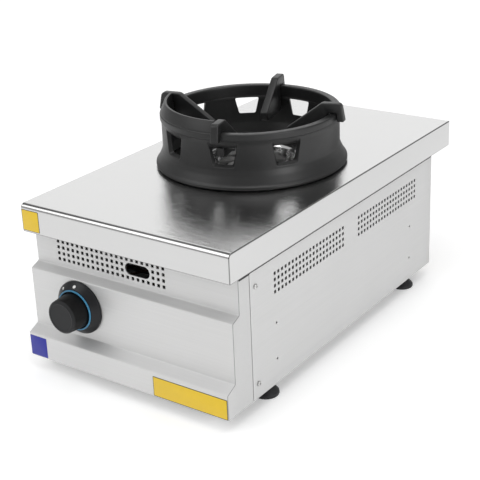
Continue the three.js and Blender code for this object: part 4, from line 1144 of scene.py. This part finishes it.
class WOK_OT_ring(bpy.types.Operator):
    """Cast wok ring: a wall with tapered windows between a rim band and a flared foot"""

    bl_idname = "wok.ring"
    bl_label = "Wok ring"

    def execute(self, context):
        ring = context.scene.wok_ring
        centre = [*RING_AXIS[:2], low("wok_ring")[2]]
        # The windows lie in a straight band of the wall, which ends lower inside, under the rim.
        band_low, band_high = ring.window_low - 7 * MM, ring.window_high + ring.head_draft + 2.4 * MM
        inner_high = ring.window_high + 1.2 * MM
        counts = (22, 7, 16)
        outer, inner = self.profiles(ring, band_low, band_high, inner_high, counts)
        rows = cast_rows(band_low, band_high, MM, counts)
        cells = 12 * ring.pitches
        pitch = TAU / ring.pitches
        angles = ring.first_window - pitch / 4 + TAU * np.arange(cells + 1) / cells
        scale = ring.wall_outer
        middle_row = (ring.window_low + ring.window_high) / 2
        squeeze = (band_high - band_low) / (inner_high - band_low)
        inner_row = band_low + (middle_row - band_low) * squeeze
        outer_row = middle_row + (ring.head_draft - ring.draft) / 2
        outer_reach = self.window(ring, ring.draft, ring.head_draft, 1, 1)
        inner_reach = self.window(ring, 0, 0, ring.wall_outer / ring.wall_inner, squeeze)
        half_block = pitch / 4 * scale

        def holes(row, reach):
            """A window in each pitch from the first one on, in a block half a pitch wide."""
            places = (ring.first_window + pitch * np.arange(ring.windows)) * scale
            blocks = [((at - half_block, band_low), (at + half_block, band_high)) for at in places]
            return [(*block, np.array([at, row]), evenly(3), reach) for block, at in zip(blocks, places)]

        outer_holes, inner_holes = holes(outer_row, outer_reach), holes(inner_row, inner_reach)
        wall = turned_shell(outer, inner, rows, angles, outer_holes, inner_holes, centre, scale)
        part = joined(wall, self.guard(ring, centre))
        mesh_piece("ring_casting", part, "cast_iron", "wok_stand", 45, ["wok_ring"], ring.casting)
        return {"FINISHED"}

    def profiles(self, ring, band_low, band_high, inner_high, counts):
        """Outer and inner lines from the middle of the foot, by the wall, to the middle of the rim."""
        rim_foot = ring.height - ring.rim_height
        band_foot = ring.height - ring.inner_band
        middle = (ring.rim_outer + ring.rim_inner) / 2
        foot_middle = (ring.flare + ring.wall_inner) / 2
        out_foot = rounded(
            [
                [foot_middle, 0],
                [ring.flare - 3.6 * MM, 0],
                [ring.flare, 3.4 * MM],
                [ring.flare, 6.6 * MM],
                [ring.flare - 2.8 * MM, 8.8 * MM],
                [ring.wall_outer + 3.2 * MM, 22 * MM],
                [ring.wall_outer, 31 * MM],
                [ring.wall_outer, band_low],
            ],
            np.array([1.2, 1.2, 1.0, 1.6, 9, 0.3]) * MM,
        )
        in_foot = rounded(
            [
                [foot_middle, 0],
                [ring.wall_inner + 4 * MM, 0],
                [ring.wall_inner + 3 * MM, 6 * MM],
                [ring.wall_inner, 22 * MM],
                [ring.wall_inner, band_low],
            ],
            np.array([1.5, 3, 8]) * MM,
        )
        out_rim = rounded(
            [
                [ring.wall_outer, band_high],
                [ring.wall_outer, rim_foot - 0.6 * MM],
                [ring.rim_outer, rim_foot + 1.2 * MM],
                [ring.rim_outer, ring.height],
                [middle, ring.height],
            ],
            np.array([0.5, 0.8, 2.2]) * MM,
        )
        in_rim = rounded(
            [
                [ring.wall_inner, inner_high],
                [ring.wall_inner, band_foot],
                [ring.rim_inner, band_foot + 2 * MM],
                [ring.rim_inner, ring.height],
                [middle, ring.height],
            ],
            np.array([0.5, 0.8, 1.6]) * MM,
        )
        return cast_profile(out_foot, out_rim, counts), cast_profile(in_foot, in_rim, counts)

    def window(self, ring, margin, head_margin, wider, taller):
        """Reach of a window's outline from its middle: flat head and foot, and two sloping sides."""
        half_height = (ring.window_high - ring.window_low + margin + head_margin) / 2 * taller
        wide, narrow = ((width + 2 * margin) * wider for width in (ring.window_wide, ring.window_narrow))
        slope = math.atan2((wide - narrow) / 2, 2 * half_height)
        side = (wide + narrow) / 4 * math.cos(slope)
        out, down = math.cos(slope), -math.sin(slope)
        normals = [[0, 1], [0, -1], [out, down], [-out, down]]
        return softened(normals, np.array([half_height, half_height, side, side]), power=16)

    def guard(self, ring, centre):
        """Raised guard between the third finger and the fourth, leaning in to a thin edge."""
        outline = rounded(
            [
                [ring.rim_inner + MM, ring.height - 3 * MM],
                [ring.guard_base, ring.height - 3 * MM],
                [ring.guard_base, ring.height + 1 * MM],
                [ring.rim_inner + ring.guard_edge + 1.2 * MM, ring.guard],
                [ring.rim_inner, ring.guard],
                [ring.rim_inner, ring.height - 2 * MM],
            ],
            np.array([0.4, 0.4, 6, 1.4, 1.2, 0.4]) * MM,
            closed=True,
        )
        start = ring.first_finger + TAU / 2
        clear = np.arcsin((ring.thickness / 2 + SEAT) / outline[:, 0])
        return turned_part(outline, start + clear, start + TAU / 4 - clear, steps=40, centre=centre)


class WOK_OT_fingers(bpy.types.Operator):
    """Four cast fingers that hook over the ring's rim"""

    bl_idname = "wok.fingers"
    bl_label = "Ring fingers"

    def execute(self, context):
        ring = context.scene.wok_ring
        outline = self.outline(ring)
        axis = [*RING_AXIS[:2], low("wok_ring")[2]]
        for i in range(4):
            angle = ring.first_finger + i * TAU / 4
            out = [math.cos(angle), math.sin(angle), 0]
            basis = np.array([out, [0, 0, 1], np.cross(out, [0, 0, 1])])
            part = slab(outline, ring.thickness / 2, ring.finger_edge, axis, basis)
            mesh_piece(f"finger_{i + 1}", part, "cast_iron", "wok_stand", 60, [f"ring_finger_{i + 1}"])
        return {"FINISHED"}

    def outline(self, ring):
        """Outline in radius and height: a sloping blade, a crest over the rim and a tab outside it."""
        tab_in = ring.rim_outer + SEAT
        tab_out = tab_in + ring.tab
        foot_out = tab_out + ring.tab_flare
        saddle = ring.height + SEAT
        rim_face = ring.rim_inner - 1.8 * MM
        wall_face = ring.wall_inner - 1.8 * MM
        tip_low = ring.height - ring.tip_drop
        points = [
            [ring.tip, tip_low],
            [wall_face - 20 * MM, ring.height - 44 * MM],
            [wall_face, ring.height - 42 * MM],
            [wall_face, ring.height - ring.inner_band - 5 * MM],
            [rim_face, ring.height - ring.inner_band - 2 * MM],
            [rim_face, saddle],
            [tab_in, saddle],
            [tab_in, ring.height - 13 * MM],
            [foot_out, ring.height - 13 * MM],
            [tab_out + 0.4 * MM, ring.crest + 0.6 * MM],
            [ring.crest_radius, ring.crest],
            [ring.tip, tip_low + 15 * MM],
        ]
        radii = np.array([3.4, 10, 2.4, 1.2, 1.2, 0.5, 0.5, 2.4, 2.4, 7.5, 10, 5]) * MM
        return rounded(points, radii, steps=6, closed=True)


class WOK_OT_burner(bpy.types.Operator):
    """Burner bowl, cap with flame ports, pilot and thermocouple"""

    bl_idname = "wok.burner"
    bl_label = "Burner"

    def execute(self, context):
        centre = [*RING_AXIS[:2], TOP]
        self.bowl(centre)
        self.cap(centre)
        self.stems()
        return {"FINISHED"}

    def bowl(self, centre):
        """Pressed bowl: neck, floor, wall, and a rolled bead that lies on the worktop."""
        line = np.array([[56, -31], [57.5, -44], [72, -42], [77, -1], [81, 3.2], [88, 3.2], [90, 1.5]])
        outline = rounded(line * MM, np.array([2.2, 3, 3, 2.6, 1.2]) * MM, steps=6)
        profile = np.vstack([offset(outline, -1.2 * MM), outline[::-1]])
        part = turned(*profile.T, centre, sides=128, closed=True)
        mesh_piece("bowl_pressing", part, "bowl_steel", "cabinet", replaces=["burner_bowl"])

    def cap(self, centre):
        """Cast cap: a skirt in the pot, and a sloping edge with slots for the flame. Sizes are in
        millimetres from the worktop's top, and the cap rests on the pot at its seat."""
        seat = -29.7
        out_low = [[43.9, seat - 6], [45.4, seat - 6], [45.4, seat], [54, seat], [54, seat + 5]]
        out_high = [[45, -14], [14, -14], [12, -16], [12, -18]]
        in_low = [[43.9, seat - 6], [42.4, seat - 6], [42.4, seat + 1], [48, seat + 3], [50.5, seat + 4.2]]
        in_high = [[43, -17.5], [16, -17.5], [13, -18.5], [12, -18]]
        counts = (14, 5, 16)
        outer, inner = cast_profile(out_low, out_high, counts), cast_profile(in_low, in_high, counts)
        edge_middle, span = 49.5, 14.0
        rows = cast_rows(0, span, 1, counts)
        ports, cells = 20, 120
        pitch = TAU / ports * edge_middle
        angles = TAU * np.arange(cells + 1) / cells
        slot = rounded_box(1.5, 5.0, 1.4)
        places = (np.arange(ports) + 0.5) * pitch
        holes = [hole([at, span / 2], [pitch / 3, span / 2], evenly(2), slot) for at in places]
        part = turned_shell(outer * MM, inner * MM, rows, angles, holes, holes, centre, edge_middle)
        mesh_piece("burner_crown", part, "crown", "burner_cap", 32, ["burner_cap"])

    def stems(self):
        """Pilot and thermocouple, in millimetres: a thin foot, a stem with a groove, and a domed tip."""
        for node, finish, radius, name in (
            ("pilot_burner", "brass", 4.0, "pilot_jet"),
            ("thermocouple", "copper", 2.5, "flame_probe"),
        ):
            tall = (high(node) - low(node))[2] / MM
            radii = radius - np.array([radius, 1, 1, 0, 0, 0.6, 0.6, 0, 0, 1.5, 1.9, radius])
            heights = np.concatenate([[0, 0, 12, 12.6], tall - np.array([16, 15, 12, 11, 5, 0.6, 0, 0])])
            centre = [*middle_of(node)[:2], low(node)[2]]
            part = turned(radii * MM, heights * MM, centre, sides=40)
            mesh_piece(name, part, finish, "cabinet", 30, [node])


class WOK_OT_dial(bpy.types.Operator):
    """Control knob, its bezel, the blue ring and the white marks"""

    bl_idname = "wok.dial"
    bl_label = "Dial"

    def execute(self, context):
        dial = context.scene.wok_dial
        panel = FRONT + context.scene.wok_cabinet.panel
        centre = KNOB_AXIS * [1, 0, 1] + [0, panel, 0]
        self.knob(dial, centre)
        self.bezel(dial, centre)
        self.blue_ring(dial, centre)
        self.marks(dial, centre)
        return {"FINISHED"}

    def knob(self, dial, centre):
        """Hollow moulding: bored boss, tapered skirt, and a face with a shallow step inside its edge."""
        inner_top = dial.front - dial.wall - 2 * MM
        inside = [
            [0, dial.bore_end],
            [dial.bore, dial.bore_end],
            [dial.bore, dial.boss_back],
            [dial.boss, dial.boss_back],
            [dial.boss, inner_top],
            [dial.face - dial.wall, inner_top],
            [dial.skirt - dial.wall, dial.back],
        ]
        outside = rounded(
            [
                [dial.skirt - dial.wall, dial.back],
                [dial.skirt, dial.back],
                [dial.face + 0.3 * MM, dial.front - 1.5 * MM],
                [dial.face - 3.2 * MM, dial.front],
                [dial.face - 4.6 * MM, dial.front],
                [dial.face - 5.4 * MM, dial.front - 0.5 * MM],
                [0, dial.front - 0.5 * MM],
            ],
            np.array([0.5, 2.6, 0.9, 0.3, 0.3]) * MM,
            steps=6,
        )
        part = turned(*np.vstack([inside, outside[1:]]).T, centre, FORWARD)
        mesh_piece("control_knob", part, "knob_plastic", "knob", 30, ["knob"])

    def bezel(self, dial, centre):
        """Cone-shaped bezel with a well for the knob's skirt."""
        wall = 2.5 * MM
        outline = rounded(
            [
                [dial.bezel, SEAT],
                [dial.bezel, dial.cone_foot],
                [dial.cone_head, dial.bezel_rise],
                [dial.well, dial.bezel_rise],
                [dial.well, dial.well_floor],
                [dial.shaft_bore, dial.well_floor],
                [dial.shaft_bore, dial.well_floor - wall],
            ],
            np.array([1.2, 1.0, 0.3, 0.6, 0.4]) * MM,
        )
        inside = [
            [dial.well + 1.5 * MM, dial.well_floor - wall],
            [dial.bezel - 2 * wall, 3 * MM],
            [dial.bezel - wall, SEAT],
        ]
        part = turned(*np.vstack([outline, inside]).T, centre, FORWARD, closed=True)
        mesh_piece("dial_surround", part, "bezel_plastic", "cabinet", 30, ["dial_bezel"])

    def blue_ring(self, dial, centre):
        """Flat ring with a slightly drawn-in face, on the bezel's head."""
        base = dial.bezel_rise + SEAT
        profile = rounded(
            [
                [dial.ring_inner, base],
                [dial.ring_outer, base],
                [dial.ring_outer - 0.3 * MM, base + dial.ring_height],
                [dial.ring_inner, base + dial.ring_height],
            ],
            np.array([0.2, 0.2, 0.6, 0.4]) * MM,
            closed=True,
        )
        part = turned(*profile.T, centre, FORWARD, sides=128, closed=True)
        mesh_piece("blue_ring", part, "dial_blue", "cabinet", 30, ["dial_ring"])

    def marks(self, dial, centre):
        """White marks on the bezel's cone: a dot for off at the top, and a small flame to its left."""
        slope = math.atan2(dial.bezel_rise - dial.cone_foot, dial.bezel - dial.cone_head)
        height = dial.cone_foot + (dial.bezel - dial.mark_place) * math.tan(slope)
        half, bevel = 0.25 * MM, 0.08 * MM
        unit_circle = circle(24)
        dot = dial.mark * unit_circle
        tall, wide = unit_circle.T
        flame_wide = dial.flame_width * wide * (1 - 0.55 * tall)
        flame = np.stack([flame_wide, -dial.flame_height * tall], 1)[::-1]
        forward = np.array([0, -1, 0])
        for name, outline, angle in (("dot_mark", dot, 0.0), ("flame_mark", flame, dial.flame_turn)):
            out = np.array([-math.sin(angle), 0, math.cos(angle)])
            across = [math.cos(angle), 0, math.sin(angle)]
            up_slope = out * math.cos(slope) - forward * math.sin(slope)
            normal = out * math.sin(slope) + forward * math.cos(slope)
            base = centre + out * dial.mark_place + forward * height
            part = slab(outline, half, bevel, base, np.array([across, up_slope, normal]), steps=2)
            mesh_piece(name, part, "white_mark", "cabinet", 40)


class WOK_OT_gas_inlet(bpy.types.Operator):
    """Gas inlet fitting at the rear: a chamfered hexagon and a threaded spigot"""

    bl_idname = "wok.gas_inlet"
    bl_label = "Gas inlet"

    def execute(self, context):
        node = "gas_inlet_fitting"
        total = (high(node) - low(node))[1]
        hex_corner, hex_end, chamfer, chamfer_height = 17 * MM, 14 * MM, 15.4 * MM, 1.4 * MM
        bore, neck, crest, root, pitch = 8 * MM, 9.4 * MM, 10.5 * MM, 9.6 * MM, 1.8 * MM
        sides, sixth = 96, TAU / 6
        from_flat = (evenly(sides) * TAU + sixth / 2) % sixth - sixth / 2
        hexagon = hex_corner * math.cos(sixth / 2) / np.cos(from_flat)
        chamfered = np.minimum(hexagon, chamfer)
        threads = hex_end + 3 * MM + pitch * np.arange(int((total - hex_end - 5 * MM) / pitch))
        rows = [bore, chamfered, hexagon, hexagon, chamfered, neck, neck]
        rows += [crest, crest, root] * len(threads) + [root, bore]
        heights = [0, 0, chamfer_height, hex_end - chamfer_height, hex_end]
        heights += [hex_end + 0.05 * MM, hex_end + 2.4 * MM]
        heights += [at + share * pitch for at in threads for share in (0, 0.5, 0.85)]
        heights += [total, total]
        rows = np.array([np.broadcast_to(row, sides) for row in rows])
        centre = middle_of(node) * [1, 0, 1] + low(node) * [0, 1, 0]
        part = turned(rows, heights, centre, BACKWARD, sides, closed=True)
        mesh_piece("inlet_fitting", part, "brass", "cabinet", 28, [node])
        return {"FINISHED"}


class WOK_OT_plates(bpy.types.Operator):
    """Bare adhesive plates: two yellow ones with a dark edge, and a blue one"""

    bl_idname = "wok.plates"
    bl_label = "Plates"

    def execute(self, context):
        lip, lift = FRONT + context.scene.wok_cabinet.lip, 0.1 * MM
        square_foot = low("worktop")[2] / MM + 2.5
        # Left side, foot, width, height and dark edge, in millimetres, and the face a plate lies on.
        for name, left, foot, wide, tall, edge, face in (
            ("blue_plate", -196.2, 26.5, 35.2, 35.0, 0, lip),
            ("yellow_plate", 58.0, 25.2, 137.6, 33.4, 1.0, lip),
            ("yellow_square", -198.5, square_foot, 35.0, 35.0, 0.8, FRONT),
        ):
            sides = [left, left + wide, foot, foot + tall]
            if edge:
                self.plate(f"{name}_edge", sides, face, "dark_film")
                inside = np.add(sides, [edge, -edge, edge, -edge])
                self.plate(name, inside, face - lift, "yellow_film")
            else:
                self.plate(name, sides, face, "blue_film")
        return {"FINISHED"}

    def plate(self, name, sides, face, finish):
        """A thin plate with rounded corners, flat on a face that looks to the front."""
        left, right, foot, head = np.multiply(sides, MM)
        half, bevel, corner = 0.12 * MM, 0.04 * MM, 1.2 * MM
        outline = rounded([[left, foot], [right, foot], [right, head], [left, head]], corner, closed=True)
        part = slab(outline, half, bevel, [0, face - half, 0], FORWARD, steps=2)
        mesh_piece(name, part, finish, "cabinet", 40)


class WOK_OT_finishes(bpy.types.Operator):
    """Finishes of the pieces that keep their own solids"""

    bl_idname = "wok.finishes"
    bl_label = "Finishes"

    def execute(self, context):
        corners = [f"{end}_{hand}" for end in ("front", "rear") for hand in ("left", "right")]
        dress("side_steel", "rear_panel")
        dress(
            "galvanised",
            "base_tray",
            "burner_bar",
            "injector_bar",
            "pilot_bracket",
            "injector_bracket",
            *(f"corner_post_{corner}" for corner in corners),
        )
        dress(
            "zinc",
            "air_shutter",
            "gas_rail",
            "valve_push_rod",
            "valve_spindle",
            *(f"foot_stud_{corner}" for corner in corners),
        )
        dress("burner_iron", "burner_body")
        dress("brass", "injector", "gas_valve")
        dress("copper", "supply_pipe", "pilot_pipe", "thermocouple_lead")
        return {"FINISHED"}


class WOK_OT_stage(bpy.types.Operator):
    """Camera, soft lights and a plain pale floor"""

    bl_idname = "wok.stage"
    bl_label = "Stage"

    def execute(self, context):
        stage = context.scene.wok_stage
        self.camera(context, stage)
        self.floor(stage)
        self.surroundings(context, stage)
        # Name, place, target, side in metres and power in watts.
        for light in (
            ("back_light", (-1.95, 2.65, 1.7), (0, 0, 0.28), 3.2, 24.0),
            ("overhead_light", (0.7, -0.2, 3.4), (0, 0, 0.2), 2.6, 40.0),
            ("right_light", (1.9, -0.5, 0.75), (0, 0, 0.3), 0.5, 8.0),
            ("left_light", (-1.55, -2.0, 2.4), (0, 0, 0.25), 2.2, 25.0),
        ):
            self.light(*light)
        context.scene.view_settings.view_transform = "Standard"
        context.scene.view_settings.look = "None"
        return {"FINISHED"}

    def camera(self, context, stage):
        """Camera at the photograph's own place: its turn, then its tilt, then its roll, and its shift."""
        turns = ((stage.azimuth, "Z"), (math.pi / 2 - stage.elevation, "X"), (stage.roll, "Z"))
        matrix = Matrix.Translation(stage.camera)
        for angle, axis in turns:
            matrix = matrix @ Matrix.Rotation(angle, 4, axis)
        data = bpy.data.cameras.new("camera")
        data.lens = stage.lens
        data.sensor_width = 36
        data.sensor_fit = "HORIZONTAL"
        data.shift_x, data.shift_y = stage.shift
        camera = placed("camera", data)
        camera.matrix_world = matrix
        context.scene.camera = camera

    def floor(self, stage):
        """Round floor under the range."""
        reach, sides = 9.0, 96
        mesh = bpy.data.meshes.new("floor")
        mesh.from_pydata(np.insert(reach * circle(sides), 2, 0, axis=1).tolist(), [], [list(range(sides))])
        finish = Finish("floor_paper", (0.93, 0.93, 0.93), 0.9)
        finish.shades(finish.noise(3.0, 2), 0.99, 1.01)
        finish.shader.inputs["Emission Color"].default_value = (1, 1, 1, 1)
        finish.shader.inputs["Emission Strength"].default_value = stage.table
        mesh.materials.append(finish.material)
        floor = placed("floor", mesh)

    def surroundings(self, context, stage):
        """Even white light from all round."""
        world = bpy.data.worlds.new("surroundings")
        world.use_nodes = True
        background = world.node_tree.nodes["Background"]
        background.inputs["Color"].default_value = (1, 1, 1, 1)
        background.inputs["Strength"].default_value = stage.sky
        context.scene.world = world

    def light(self, name, place, target, side, power):
        """Square lamp that looks at its target."""
        data = bpy.data.lights.new(name, "AREA")
        data.shape = "SQUARE"
        data.size = side
        data.energy = power
        turn = (Vector(target) - Vector(place)).to_track_quat("-Z", "Y")
        placed(name, data).matrix_world = Matrix.Translation(place) @ turn.to_matrix().to_4x4()


OPERATORS = (
    WOK_OT_worktop,
    WOK_OT_fascia,
    WOK_OT_side_panels,
    WOK_OT_fasteners,
    WOK_OT_ring,
    WOK_OT_fingers,
    WOK_OT_burner,
    WOK_OT_dial,
    WOK_OT_gas_inlet,
    WOK_OT_plates,
    WOK_OT_finishes,
    WOK_OT_stage,
)


class WOK_PT_panel(bpy.types.Panel):
    """Lists the operators and the sizes"""

    bl_idname = "WOK_PT_panel"
    bl_label = "Wok Range"
    bl_space_type = "VIEW_3D"
    bl_region_type = "UI"
    bl_category = "Wok Range"

    def draw(self, context):
        for operator in OPERATORS:
            self.layout.operator(operator.bl_idname)
        for name in GROUPS:
            group = getattr(context.scene, name)
            box = self.layout.box()
            for field in group.bl_rna.properties.keys():
                if field not in ("rna_type", "name"):
                    box.prop(group, field)


GROUPS = {
    "wok_cabinet": RangeCabinet,
    "wok_ring": RangeRing,
    "wok_dial": RangeDial,
    "wok_finish": RangeFinish,
    "wok_stage": RangeStage,
}


def register():
    for item in (*GROUPS.values(), *OPERATORS, WOK_PT_panel):
        bpy.utils.register_class(item)
    for name, group in GROUPS.items():
        setattr(bpy.types.Scene, name, PointerProperty(type=group))


def unregister():
    for name in GROUPS:
        delattr(bpy.types.Scene, name)
    for item in (WOK_PT_panel, *reversed(OPERATORS), *GROUPS.values()):
        bpy.utils.unregister_class(item)


def main():
    register()
    for operator in OPERATORS:
        getattr(bpy.ops.wok, operator.bl_idname.split(".")[1])()


if __name__ == "__main__":
    main()
